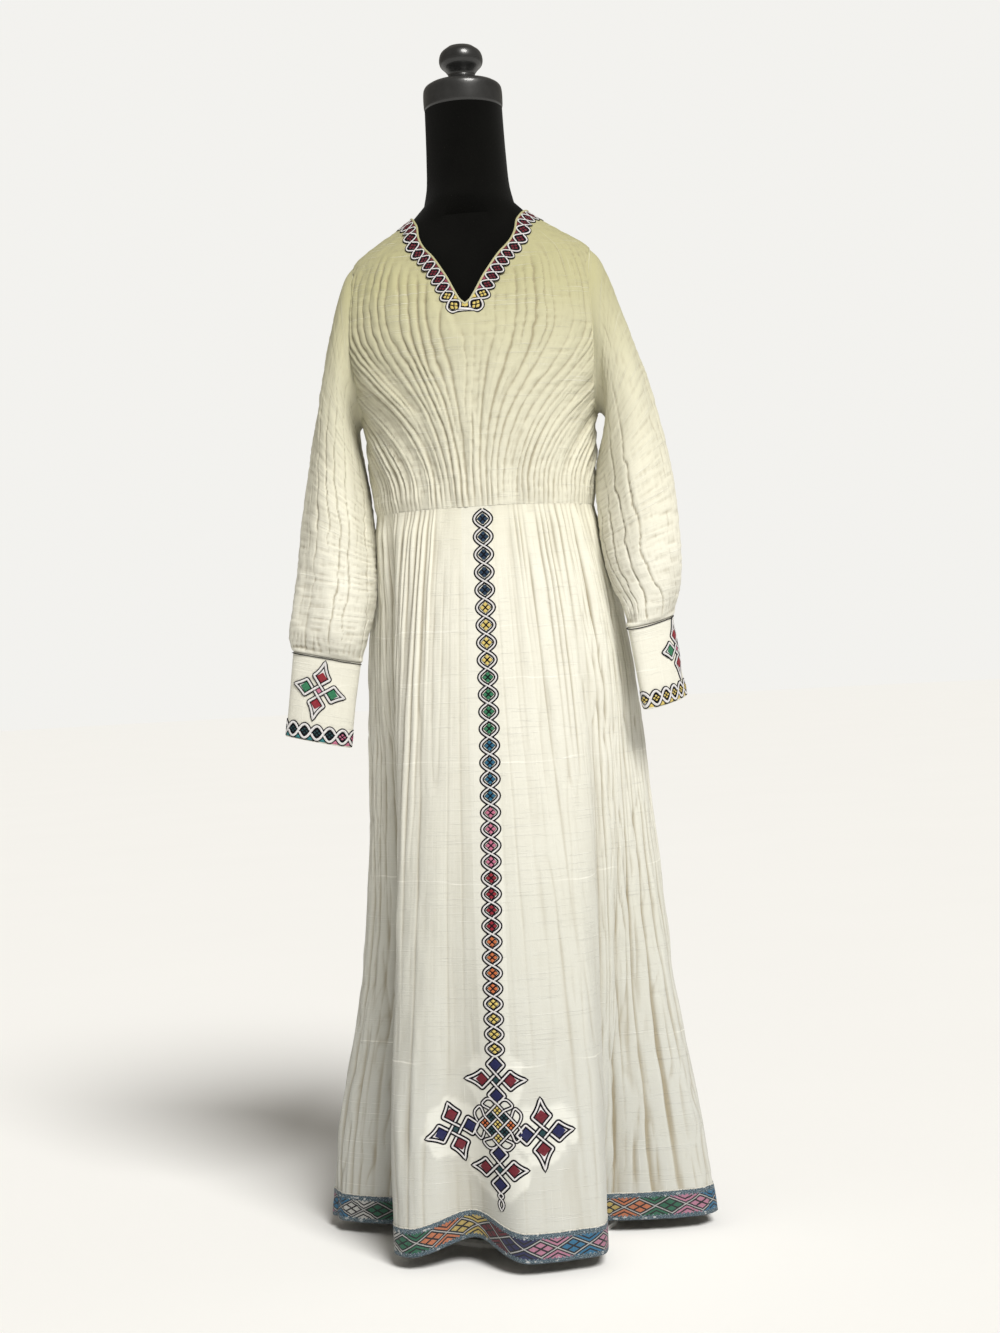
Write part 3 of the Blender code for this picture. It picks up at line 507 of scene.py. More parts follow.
def sleeve_relief(down, round_it, to_cuff, seed):
    """How far a sleeve's creases and crinkle stand out: down runs from 0 at the armhole to
    1 at the cuff seam, round_it from 0 to 1, and to_cuff is the distance to the cuff."""
    sway = (
        0.60 * noise(round_it * 8, down * 3, seed, 8)
        + 0.17 * noise(round_it * 20, down * 14, seed + 1, 20)
        + 0.10 * noise(round_it * 40, down * 38, seed + 8, 40)
    )
    count = round_it * SLEEVE_CREASES + sway
    crease = (np.abs(2 * (count - np.floor(count)) - 1)) ** 13
    strength = np.clip(0.46 + 1.2 * noise(np.round(count) * 0.71, down * 2.6, seed + 2), 0, 1)
    lower = 0.20 + 0.80 * smooth_step((down - 0.15) / 0.45)
    relief = -0.0042 * crease * strength * lower
    soft = noise(round_it * 7 + 1.2 * down, down * 2.6 + 0.4 * sway, seed + 3)
    relief = relief + 0.0056 * soft * smooth_step(down * 5)
    relief = relief + 0.0016 * noise(round_it * 15, down * 6 + sway, seed + 4, 15)
    level = (
        noise(round_it * 14, down * 110, seed + 5, 14)
        + 0.7 * noise(round_it * 22, down * 52, seed + 6, 22)
    )
    relief = relief + 0.00062 * level * (0.5 + 0.5 * lower)
    relief = relief + 0.00025 * noise(round_it * 110, down * 24, seed + 7, 110)
    gather = smooth_step(1 - (to_cuff - SLEEVE_LIP) / 0.034)
    folds = np.abs(np.sin(np.pi * (round_it * 34 + sway * 3.2))) ** 0.8
    puckered = np.clip(0.55 + 0.9 * noise(round_it * 11, 0.5, seed + 9, 11), 0, 1)
    relief = relief + 0.0020 * (folds - 0.6) * gather * puckered
    in_lip = np.clip(to_cuff / SLEEVE_LIP, 0, 1)
    lip = 0.0026 * np.sin(np.pi * in_lip) ** 0.7 - 0.0008
    plain = smooth_step(in_lip * 1.2 - 0.2)
    return blend(lip + 0.0006 * folds * in_lip, relief, plain) * smooth_step(down * 14)


def sleeve_points(table, side, rows, columns, seed):
    """The points of a sleeve's outer face, row by row, with the lengths along it."""
    station = np.arange(columns) * 360.0 / columns
    eased = (0.0, SLEEVE_EASE, SLEEVE_EASE * 0.8, 0.0)
    eases = np.interp(np.arange(len(table)), (2, 4, 7, 10), eased)
    rings = [armhole_points(side, station)]
    rings += [ring_points(row, side, station, ease) for row, ease in zip(table, eases)]
    rings = np.array(rings)
    base = smooth_rows(rings, np.linspace(0, len(rings) - 1, rows))
    along = lengths_along(base.mean(axis=1))
    even = np.interp(np.linspace(0, along[-1], rows), along, np.linspace(0, len(rings) - 1, rows))
    base = smooth_rows(rings, even)
    along = np.linspace(0, along[-1], rows)
    down = along / along[-1]
    to_cuff = (along[-1] - along)[:, None]
    relief = sleeve_relief(down[:, None], (station / 360)[None, :], to_cuff, seed)
    points = base + tube_outward(base) * relief[..., None]
    turned_in = [under_armhole(side, station, reach) for reach in (0.006, 0.003)]
    points = np.concatenate([turned_in, points])
    along = np.concatenate([along[0] - np.array([0.006, 0.003]), along])
    relief = np.concatenate([relief[:1], relief[:1], relief])
    return points, along, hollows(relief, 3, 3, 0.0011, wrap=True)


class Cuff:
    """A flat open tube from the sleeve's end. Places on it are metres round from the
    middle of its front and metres up from its lower edge."""

    def __init__(self, seam, end, side):
        self.seam, self.end, self.side = seam, end, side
        self.fine = np.arange(721) * 0.5
        ring = ring_points(end, side, self.fine)
        self.round = lengths_along(ring)
        self.girth = self.round[-1]
        self.front = np.interp(270.0, self.fine, self.round)
        top = ring_points(seam, side, self.fine)
        self.length = float(np.linalg.norm(top[540] - ring[540]))

    def place(self, across, up, out):
        across, up, out = np.broadcast_arrays(across, up, out)
        shape = across.shape
        across, up, out = across.ravel(), up.ravel(), out.ravel()
        station = np.interp((self.front + across * self.side) % self.girth, self.round, self.fine)
        share = 1 - up / self.length

        def at(station, share):
            rows = np.array([blend(a, b, share) for a, b in zip(self.seam, self.end)])
            inner_x, inner_z, outer_x, outer_z, middle_y, half_depth, turn = rows
            angle, way = np.radians(turn), np.radians(station)
            half = (outer_x - inner_x) / 2
            x = (
                (inner_x + outer_x) / 2 + half * np.cos(angle) * np.cos(way)
                - np.sin(angle) * half_depth * np.sin(way)
            )
            y = (
                middle_y + half * np.sin(angle) * np.cos(way)
                + np.cos(angle) * half_depth * np.sin(way)
            )
            z = (inner_z + outer_z) / 2 + (outer_z - inner_z) / 2 * np.cos(way)
            return np.stack([x * self.side, y, z], -1)

        point = at(station, share)
        round_it = at(station + self.side, share) - at(station - self.side, share)
        upwards = at(station, share - 0.02) - at(station, share + 0.02)
        outward = normalise(np.cross(round_it, upwards))
        wave = (
            0.0006 * noise(across / 0.022, up / 0.030, 51)
            + 0.0009 * noise(across / 0.05, up / 0.08, 53)
        )
        point = point + outward * (out + wave)[:, None]
        return point.reshape(shape + (3,))


class Neckline:
    """Places on the bodice along its neckline: metres round from the V's point, positive
    to the wearer's left, and metres down from the edge."""

    def __init__(self):
        share = np.linspace(-1, 1, 1441)
        self.angle = np.copysign(180.0 * np.abs(share) ** 1.7, share)
        self.points = bodice_base(self.angle, neckline_height(self.angle))
        run = lengths_along(self.points)
        self.run = run - run[len(run) // 2]
        self.girth = run[-1]
        ahead, behind = np.roll(self.points, -12, axis=0), np.roll(self.points, 12, axis=0)
        self.along = normalise(ahead - behind)

    def place(self, across, down, out):
        across, down, out = np.broadcast_arrays(across, down, out)
        across = (across + self.girth / 2) % self.girth - self.girth / 2
        angle = np.interp(across, self.run, self.angle)
        point = np.stack([np.interp(across, self.run, self.points[:, c]) for c in range(3)], -1)
        along = np.stack([np.interp(across, self.run, self.along[:, c]) for c in range(3)], -1)
        outward = bodice_outward(angle, point[..., 2])
        off = point - normalise(np.cross(outward, along)) * down[..., None]
        half_width, front, behind = read_table(BODICE_SECTIONS, off[..., 2])
        depth = np.where(off[..., 1] < 0, front, behind)
        there = np.degrees(np.arctan2(off[..., 0] / half_width, -off[..., 1] / depth))
        lifted = np.maximum(bodice_relief(there, off[..., 2]), 0) + out
        outward = bodice_outward(there, off[..., 2])
        return bodice_base(there, off[..., 2]) + outward * lifted[..., None]


# Making pieces
def make_piece(name, points, faces, materials, uvs=None, face_materials=None):
    """A smooth-shaded mesh that rides on the body. uvs has one pair for each corner of
    each face, in metres on the cloth."""
    mesh = bpy.data.meshes.new(name)
    mesh.from_pydata(np.asarray(points).reshape(-1, 3).tolist(), [], np.asarray(faces).tolist())
    for material in materials:
        mesh.materials.append(material)
    if face_materials is not None:
        mesh.polygons.foreach_set("material_index", np.asarray(face_materials, dtype=np.int32))
    if uvs is not None:
        layer = mesh.uv_layers.new(name="metres")
        layer.data.foreach_set("uv", np.asarray(uvs, float).ravel())
    mesh.shade_smooth()
    mesh.update()
    piece = bpy.data.objects.new(name, mesh)
    bpy.context.scene.collection.objects.link(piece)
    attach(piece, "root")
    return piece


def add_shares(piece, name, values):
    """A number at each point of a piece, for its material to read."""
    layer = piece.data.attributes.new(name, "FLOAT", "POINT")
    layer.data.foreach_set("value", np.asarray(values, float).ravel())


def grid_faces(rows, columns, closed=False, first=0, flip=False):
    """Four-cornered faces of a grid and, beside each corner, its place in the uv grid."""
    steps = columns if closed else columns - 1
    r, c = np.meshgrid(np.arange(rows - 1), np.arange(steps), indexing="ij")
    r, c = r.ravel(), c.ravel()
    d = (c + 1) % columns
    this, below = r * columns, (r + 1) * columns
    faces = np.stack([this + c, this + d, below + d, below + c], 1)
    wide = columns + 1 if closed else columns
    this, below = r * wide + c, (r + 1) * wide + c
    corners = np.stack([this, this + 1, below + 1, below], 1)
    if flip:
        faces, corners = faces[:, ::-1], corners[:, ::-1]
    return faces + first, corners


def cloth_sheet(name, points, uvs, material, closed=False, flip=False):
    """A sheet of cloth through a grid of points, with the grid's places in metres."""
    rows, columns = points.shape[:2]
    faces, corners = grid_faces(rows, columns, closed, flip=flip)
    flat_uvs = uvs.reshape(-1, 2)[corners.ravel()]
    return make_piece(name, points, faces, [material], flat_uvs)


# Materials
class Wiring:
    """Places a tree's nodes and joins them."""

    def __init__(self, tree):
        self.tree = tree

    def node(self, kind, values=None, **settings):
        made = self.tree.nodes.new(kind)
        for key, value in settings.items():
            setattr(made, key, value)
        for key, value in (values or {}).items():
            self.set(made.inputs[key], value)
        return made

    def set(self, socket, value):
        if isinstance(value, bpy.types.NodeSocket):
            self.tree.links.new(value, socket)
        elif isinstance(value, tuple) and len(value) == 3 and socket.type == "RGBA":
            socket.default_value = (*value, 1.0)
        else:
            socket.default_value = value

    def maths(self, operation, *values, clamp=False):
        made = self.node("ShaderNodeMath", operation=operation, use_clamp=clamp)
        for k, value in enumerate(values):
            self.set(made.inputs[k], value)
        return made.outputs[0]

    def mix(self, share, first, second, blend_type="MIX"):
        made = self.node("ShaderNodeMix", data_type="RGBA", blend_type=blend_type)
        self.set(made.inputs[0], share)
        self.set(made.inputs[6], first)
        self.set(made.inputs[7], second)
        return made.outputs[2]

    def ramp(self, share, stops, interpolation="LINEAR"):
        made = self.node("ShaderNodeValToRGB", {"Fac": share})
        made.color_ramp.interpolation = interpolation
        elements = made.color_ramp.elements
        while len(elements) < len(stops):
            elements.new(0.5)
        for element, (at, colour) in zip(elements, stops):
            element.position = at
            element.color = (*colour, 1.0)
        return made.outputs[0]

    def between(self, value, low, high):
        """0 below low and 1 above high, or the other way round."""
        made = self.node("ShaderNodeMapRange", {
            "Value": value, "From Min": low, "From Max": high, "To Min": 0.0, "To Max": 1.0,
        }, clamp=True)
        return made.outputs[0]

    def stretched(self, vector, scale):
        made = self.node("ShaderNodeMapping", {"Vector": vector})
        made.inputs["Scale"].default_value = scale
        return made.outputs[0]

    def noise(self, vector, scale, detail=2.0, roughness=0.5):
        made = self.node("ShaderNodeTexNoise", {
            "Vector": vector, "Scale": scale, "Detail": detail, "Roughness": roughness,
        })
        return made.outputs[0]


def new_group(name, inputs, outputs):
    """An empty node group with named sockets, its wiring, and its two end nodes."""
    group = bpy.data.node_groups.new(name, "ShaderNodeTree")
    for socket, kind, value in inputs:
        made = group.interface.new_socket(socket, in_out="INPUT", socket_type=kind)
        if value is not None:
            made.default_value = value
    for socket, kind in outputs:
        group.interface.new_socket(socket, in_out="OUTPUT", socket_type=kind)
    wiring = Wiring(group)
    return group, wiring, wiring.node("NodeGroupInput"), wiring.node("NodeGroupOutput")


def hand_woven_group():
    """Plain hand weaving: threads both ways, thick slubs across and soft unevenness."""
    group, w, start, end = new_group(
        "hand_woven",
        [("Place", "NodeSocketVector", None), ("Threads", "NodeSocketFloat", 900.0),
         ("Slubs", "NodeSocketFloat", 1.0)],
        [("Height", "NodeSocketFloat"), ("Shade", "NodeSocketFloat"), ("Slub", "NodeSocketFloat")],
    )
    place = start.outputs["Place"]
    split = w.node("ShaderNodeSeparateXYZ", {"Vector": place})
    count = w.maths("MULTIPLY", start.outputs["Threads"], math.tau)
    warp = w.maths("SINE", w.maths("MULTIPLY", split.outputs[0], count))
    weft = w.maths("SINE", w.maths("MULTIPLY", split.outputs[1], count))
    threads = w.maths("MULTIPLY", warp, weft)
    across = w.noise(w.stretched(place, (9.0, 620.0, 1.0)), 1.0, 2.0, 0.6)
    down = w.noise(w.stretched(place, (480.0, 7.0, 1.0)), 1.0, 2.0, 0.6)
    slub_across = w.between(across, 0.615, 0.70)
    slub_down = w.between(down, 0.66, 0.74)
    slub = w.maths("MULTIPLY", w.maths("MAXIMUM", slub_across, w.maths("MULTIPLY", slub_down, 0.5)),
                   start.outputs["Slubs"], clamp=True)
    uneven = w.maths("ADD", w.maths("MULTIPLY", across, 0.55), w.maths("MULTIPLY", down, 0.45))
    cloudy = w.noise(place, 16.0, 3.0, 0.6)
    thick = w.maths("ADD", w.maths("MULTIPLY", uneven, 0.8), w.maths("MULTIPLY", slub, 0.5))
    height = w.maths("ADD", w.maths("MULTIPLY", threads, 0.12), thick)
    shade = w.maths("ADD", w.maths("MULTIPLY", uneven, 0.6), w.maths("MULTIPLY", cloudy, 0.4))
    w.set(end.inputs["Height"], height)
    w.set(end.inputs["Shade"], shade)
    w.set(end.inputs["Slub"], slub)
    return group


def stitches_group():
    """Satin stitches lying side by side: a ridge for each thread, and uneven sheen. Its Shade
    is painted shade between the threads and painted sheen in patches, for the colour.
    """
    group, w, start, end = new_group(
        "satin_stitches",
        [("Place", "NodeSocketVector", None), ("Threads", "NodeSocketFloat", 1500.0)],
        [("Height", "NodeSocketFloat"), ("Shade", "NodeSocketFloat")],
    )
    place = start.outputs["Place"]
    split = w.node("ShaderNodeSeparateXYZ", {"Vector": place})
    wobble = w.maths("MULTIPLY", w.noise(place, 300.0, 1.0), 0.0012)
    line = w.maths("ADD", split.outputs[1], wobble)
    count = w.maths("MULTIPLY", start.outputs["Threads"], math.tau)
    ridge = w.maths("SINE", w.maths("MULTIPLY", line, count))
    ridge = w.maths("MULTIPLY_ADD", ridge, 0.5, 0.5)
    patchy_painted_sheen = w.noise(place, 420.0, 2.0, 0.6)
    w.set(end.inputs["Height"], ridge)
    shade = w.maths("ADD", w.maths("MULTIPLY", ridge, 0.45), w.maths("MULTIPLY", patchy_painted_sheen, 0.55))
    w.set(end.inputs["Shade"], shade)
    return group


def start_material(name, roughness, sheen=0.0):
    """A material with its Principled shader, ready to wire."""
    material = bpy.data.materials.new(name)
    material.use_nodes = True
    wiring = Wiring(material.node_tree)
    shader = material.node_tree.nodes["Principled BSDF"]
    shader.inputs["Roughness"].default_value = roughness
    shader.inputs["Sheen Weight"].default_value = sheen
    shader.inputs["Sheen Roughness"].default_value = 0.5
    return material, wiring, shader


def cloth_place(wiring):
    """Where a point of the cloth is, in metres on the cloth."""
    return wiring.node("ShaderNodeTexCoord").outputs["UV"]


def add_bump(wiring, shader, height, distance, strength=1.0):
    bump = wiring.node("ShaderNodeBump", {
        "Height": height, "Distance": distance, "Strength": strength,
    })
    wiring.set(shader.inputs["Normal"], bump.outputs[0])


# height above the floor, colour of the cotton there: its tint plus painted shade,
# darker towards the hem for the light's falloff and at the shoulders against the key light
COTTON_TINT_AND_PAINTED_SHADE = (
    (0.00, (0.50, 0.505, 0.475)), (0.20, (0.535, 0.54, 0.505)), (0.45, (0.62, 0.62, 0.56)),
    (0.70, (0.735, 0.725, 0.645)), (0.92, (0.80, 0.785, 0.685)), (1.05, (0.76, 0.74, 0.61)),
    (1.18, (0.64, 0.62, 0.465)), (1.32, (0.455, 0.435, 0.240)), (1.45, (0.375, 0.355, 0.165)),
)
COTTON_TOP = 1.45
# heights of the lines where the folded skirt was pressed, which get a painted highlight
PRESSED = (0.268, 0.505, 0.662, 0.775, 0.842)


def cotton_material(name, groups):
    """Cream hand-woven cotton: warmer at the shoulders, cooler towards the hem, with painted
    shade darker towards the hem and the shoulders and darker and warmer in its creases, a painted
    highlight along the press lines, and paler where a backing lies behind the embroidery."""
    material, w, shader = start_material(name, 0.92, 0.10)
    weave = w.node("ShaderNodeGroup", {"Place": cloth_place(w)}, node_tree=groups["hand_woven"])
    position = w.node("ShaderNodeNewGeometry").outputs["Position"]
    up = w.node("ShaderNodeSeparateXYZ", {"Vector": position}).outputs[2]
    # Painted shade: the height ramp darkens the cloth towards the hem and at the shoulders.
    stops = [(height / COTTON_TOP, colour) for height, colour in COTTON_TINT_AND_PAINTED_SHADE]
    cloth = w.ramp(w.maths("DIVIDE", up, COTTON_TOP), stops)
    shade = w.between(weave.outputs["Shade"], 0.36, 0.64)
    dull = w.maths("MULTIPLY", w.maths("SUBTRACT", 1.0, shade), 0.20)
    cloth = w.mix(dull, cloth, (0.47, 0.44, 0.34))
    cloth = w.mix(w.maths("MULTIPLY", weave.outputs["Slub"], 0.38), cloth, (0.92, 0.91, 0.84))
    wavering = w.maths("MULTIPLY", w.maths("SUBTRACT", w.noise(position, 7.0, 3.0), 0.5), 0.030)
    # Painted highlight: thin paler lines along the press lines.
    pressed = 0.0
    for height in PRESSED:
        off = w.maths("ABSOLUTE", w.maths("SUBTRACT", w.maths("ADD", up, wavering), height))
        pressed = w.maths("MAXIMUM", w.between(off, 0.0013, 0.0003), pressed)
    pressed = w.maths("MULTIPLY", pressed, w.between(w.noise(position, 11.0, 2.0), 0.42, 0.60))
    cloth = w.mix(w.maths("MULTIPLY", pressed, 0.5), cloth, (0.93, 0.92, 0.85))
    backing = w.node("ShaderNodeAttribute", attribute_name="backing", attribute_type="GEOMETRY")
    cloth = w.mix(w.maths("MULTIPLY", backing.outputs["Fac"], 0.50), cloth, (0.80, 0.80, 0.74))
    # Painted shade: the crease share darkens and warms the cloth in its creases and fold valleys.
    crease = w.node("ShaderNodeAttribute", attribute_name="crease", attribute_type="GEOMETRY")
    cloth = w.mix(w.maths("MULTIPLY", crease.outputs["Fac"], 0.66), cloth, (0.27, 0.225, 0.14))
    w.set(shader.inputs["Base Color"], cloth)
    w.set(shader.inputs["Roughness"], w.maths("MULTIPLY_ADD", shade, -0.10, 0.95))
    add_bump(w, shader, weave.outputs["Height"], 0.00060, 1.0)
    return material


SATIN_THREADS = 1500.0


def thread_material(name, groups, colour, deep, roughness=0.45, sheen=0.25, gloss=0.5):
    """Embroidery thread in one colour, with painted shade between its stitches and painted sheen in
    patches.
    """
    material, w, shader = start_material(name, roughness, sheen)
    shader.inputs["Specular IOR Level"].default_value = gloss
    rows = w.node("ShaderNodeGroup", {"Place": cloth_place(w), "Threads": SATIN_THREADS},
                  node_tree=groups["satin_stitches"])
    # Painted shade between the stitches and painted sheen, mixed into the thread colour.
    painted_stitch_shade = w.between(rows.outputs["Shade"], 0.30, 0.68)
    w.set(shader.inputs["Base Color"], w.mix(painted_stitch_shade, deep, colour))
    w.set(shader.inputs["Roughness"], w.maths("MULTIPLY_ADD", painted_stitch_shade, -0.12, roughness + 0.08))
    add_bump(w, shader, rows.outputs["Height"], 0.00030, 0.8)
    return material


HEM_DIAMOND_PITCH = 0.042
HEM_DIAMOND_HEIGHT = 0.0215
HEM_PATTERN_MIDDLE = 0.0178
HEM_COLOURS = (
    (0.03, 0.17, 0.32), (0.62, 0.62, 0.59), (0.028, 0.15, 0.085), (0.56, 0.19, 0.09),
    (0.52, 0.40, 0.13), (0.15, 0.020, 0.034), (0.026, 0.029, 0.10), (0.50, 0.22, 0.32),
)
HEM_BLACK = (0.012, 0.013, 0.018)
HEM_SILVER = (0.50, 0.50, 0.49)
# the diamond that is pink out of its turn
HEM_ODD_CELL = 9.0
HEM_THREADS = 1100.0


def hem_band_material(groups):
    """The woven band: a row of four-part diamonds in eight colours, outlined by silver
    lines that cross between them, with chevrons, between two blue-grey borders."""
    material, w, shader = start_material("woven_hem_band", 0.75, 0.1)
    place = cloth_place(w)
    split = w.node("ShaderNodeSeparateXYZ", {"Vector": place})
    run, up = split.outputs[0], split.outputs[1]
    count = w.maths("DIVIDE", run, HEM_DIAMOND_PITCH)
    in_cell = w.maths("SUBTRACT", w.maths("FRACT", count), 0.5)
    x = w.maths("MULTIPLY", in_cell, 2.0)
    y = w.maths("DIVIDE", w.maths("SUBTRACT", up, HEM_PATTERN_MIDDLE), HEM_DIAMOND_HEIGHT / 2)
    reach = w.maths("ADD", w.maths("ABSOLUTE", x), w.maths("ABSOLUTE", y))
    rising = w.maths("ABSOLUTE", w.maths("ADD", x, y))
    falling = w.maths("ABSOLUTE", w.maths("SUBTRACT", x, y))
    cross_lines = w.maths("LESS_THAN", w.maths("MINIMUM", rising, falling), 0.11)
    outside = w.maths("GREATER_THAN", reach, 1.0)
    owner = w.maths("FLOOR", w.maths("SUBTRACT", count, w.maths("MULTIPLY", outside, 0.5)))
    eighth = w.maths("FRACT", w.maths("DIVIDE", w.maths("ADD", owner, 0.5), 8.0))
    colour = w.ramp(eighth, [(k / 8, c) for k, c in enumerate(HEM_COLOURS)], "CONSTANT")
    odd_one = w.maths("COMPARE", owner, HEM_ODD_CELL, 0.1)
    colour = w.mix(odd_one, colour, HEM_COLOURS[7])
    off_lines = w.maths("SUBTRACT", 1.0, cross_lines)
    inside = w.maths("MULTIPLY", w.maths("LESS_THAN", reach, 0.74), off_lines)
    beyond = w.maths("GREATER_THAN", reach, 1.24)
    chevron = w.maths("MULTIPLY", beyond, w.maths("LESS_THAN", reach, 1.50))
    dot = w.maths("GREATER_THAN", reach, 1.70)
    coloured = w.maths("MAXIMUM", inside, w.maths("MAXIMUM", chevron, dot))
    pattern = w.mix(coloured, HEM_BLACK, colour)
    line = w.maths("LESS_THAN", w.maths("ABSOLUTE", w.maths("SUBTRACT", reach, 1.0)), 0.070)
    pattern = w.mix(line, pattern, HEM_SILVER)

    step = w.maths("LESS_THAN", w.maths("FRACT", w.maths("DIVIDE", run, 0.0052)), 0.5)
    from_middle = w.maths("ABSOLUTE", w.maths("SUBTRACT", up, HEM_PATTERN_MIDDLE))
    inner_edge = w.maths("MULTIPLY_ADD", step, 0.0014, HEM_DIAMOND_HEIGHT / 2 + 0.0008)
    border = w.maths("GREATER_THAN", from_middle, inner_edge)
    flecks = w.noise(w.stretched(place, (700.0, 1100.0, 1.0)), 1.0, 2.0, 0.7)
    twill = w.ramp(flecks, (
        (0.36, (0.008, 0.012, 0.018)), (0.46, (0.045, 0.085, 0.115)), (0.56, (0.11, 0.19, 0.245)),
        (0.64, (0.50, 0.56, 0.60)),
    ))
    sparse = w.between(w.noise(w.stretched(place, (120.0, 200.0, 1.0)), 1.0, 2.0, 0.6), 0.60, 0.66)
    twill = w.mix(sparse, twill, (0.66, 0.68, 0.68))
    pattern = w.mix(border, pattern, twill)
    top = w.maths("ADD", up, w.maths("MULTIPLY", flecks, 0.003))
    frayed = w.maths("GREATER_THAN", top, HEM_BAND_HEIGHT + 0.0002)
    pattern = w.mix(frayed, pattern, (0.74, 0.72, 0.64))

    rows = w.node("ShaderNodeGroup", {"Place": place, "Threads": HEM_THREADS},
                  node_tree=groups["satin_stitches"])
    # Painted shade between the stitches darkens the woven pattern.
    painted_stitch_shade = w.between(rows.outputs["Shade"], 0.30, 0.66)
    pattern_with_painted_shade = w.mix(1.0, pattern, w.mix(painted_stitch_shade, (0.34, 0.34, 0.35), (1.0, 1.0, 1.0)), "MULTIPLY")
    w.set(shader.inputs["Base Color"], pattern_with_painted_shade)
    raised = w.maths("MULTIPLY", w.maths("MAXIMUM", line, coloured), 1.2)
    height = w.maths("ADD", rows.outputs["Height"], raised)
    add_bump(w, shader, height, 0.0003, 0.8)
    return material


def jersey_material():
    """Black jersey stretched over the form: fine vertical wales and a soft nap."""
    material, w, shader = start_material("black_jersey", 0.92, 0.05)
    shader.inputs["Specular IOR Level"].default_value = 0.05
    place = w.node("ShaderNodeTexCoord").outputs["Object"]
    fuzz = w.noise(place, 900.0, 2.0, 0.6)
    cloudy = w.noise(place, 14.0, 3.0, 0.6)
    shade = w.maths("ADD", w.maths("MULTIPLY", fuzz, 0.5), w.maths("MULTIPLY", cloudy, 0.5))
    worn = w.between(shade, 0.35, 0.65)
    w.set(shader.inputs["Base Color"],
          w.mix(worn, (0.0014, 0.0014, 0.0012), (0.0036, 0.0036, 0.0030)))
    add_bump(w, shader, fuzz, 0.0004, 0.6)
    return material


def hard_material(name, colour, roughness, metallic, coat=0.0):
    """Lacquer or painted metal with faint smudges and orange-peel."""
    material, w, shader = start_material(name, roughness)
    shader.inputs["Metallic"].default_value = metallic
    shader.inputs["Coat Weight"].default_value = coat
    place = w.node("ShaderNodeTexCoord").outputs["Object"]
    smudge = w.noise(place, 22.0, 4.0, 0.6)
    smudged = tuple(c * 1.8 + 0.004 for c in colour)
    w.set(shader.inputs["Base Color"], w.mix(w.between(smudge, 0.35, 0.7), colour, smudged))
    w.set(shader.inputs["Roughness"], w.maths("MULTIPLY_ADD", smudge, 0.18, roughness - 0.05))
    add_bump(w, shader, w.noise(place, 380.0, 2.0), 0.0002, 0.4)
    return material


def floor_material():
    material, w, shader = start_material("pale_floor", 0.85)
    place = w.node("ShaderNodeTexCoord").outputs["Object"]
    clouds = w.noise(place, 1.4, 3.0)
    w.set(shader.inputs["Base Color"], w.mix(clouds, (0.90, 0.90, 0.895), (0.92, 0.92, 0.915)))
    return material


# Thread colours: the stitches' tops and the painted shade between them.
THREADS = {
    "crimson": ((0.36, 0.018, 0.034), (0.14, 0.006, 0.014)),
    "maroon": ((0.205, 0.015, 0.029), (0.08, 0.005, 0.012)),
    "rose": ((0.42, 0.075, 0.13), (0.17, 0.022, 0.045)),
    "yellow": ((0.84, 0.68, 0.23), (0.50, 0.37, 0.08)),
    "green": ((0.045, 0.27, 0.13), (0.012, 0.10, 0.045)),
    "teal": ((0.011, 0.060, 0.070), (0.004, 0.026, 0.032)),
    "sea": ((0.03, 0.25, 0.27), (0.01, 0.10, 0.11)),
    "blue": ((0.025, 0.17, 0.30), (0.008, 0.06, 0.12)),
    "dark_blue": ((0.018, 0.055, 0.11), (0.006, 0.018, 0.042)),
    "navy": ((0.014, 0.018, 0.105), (0.005, 0.006, 0.042)),
    "pink": ((0.68, 0.22, 0.34), (0.34, 0.08, 0.15)),
    "orange": ((0.68, 0.20, 0.07), (0.38, 0.09, 0.025)),
}


# Embroidery
CROSSING_RISE = 0.00045
CROSSING_REACH = 0.0038


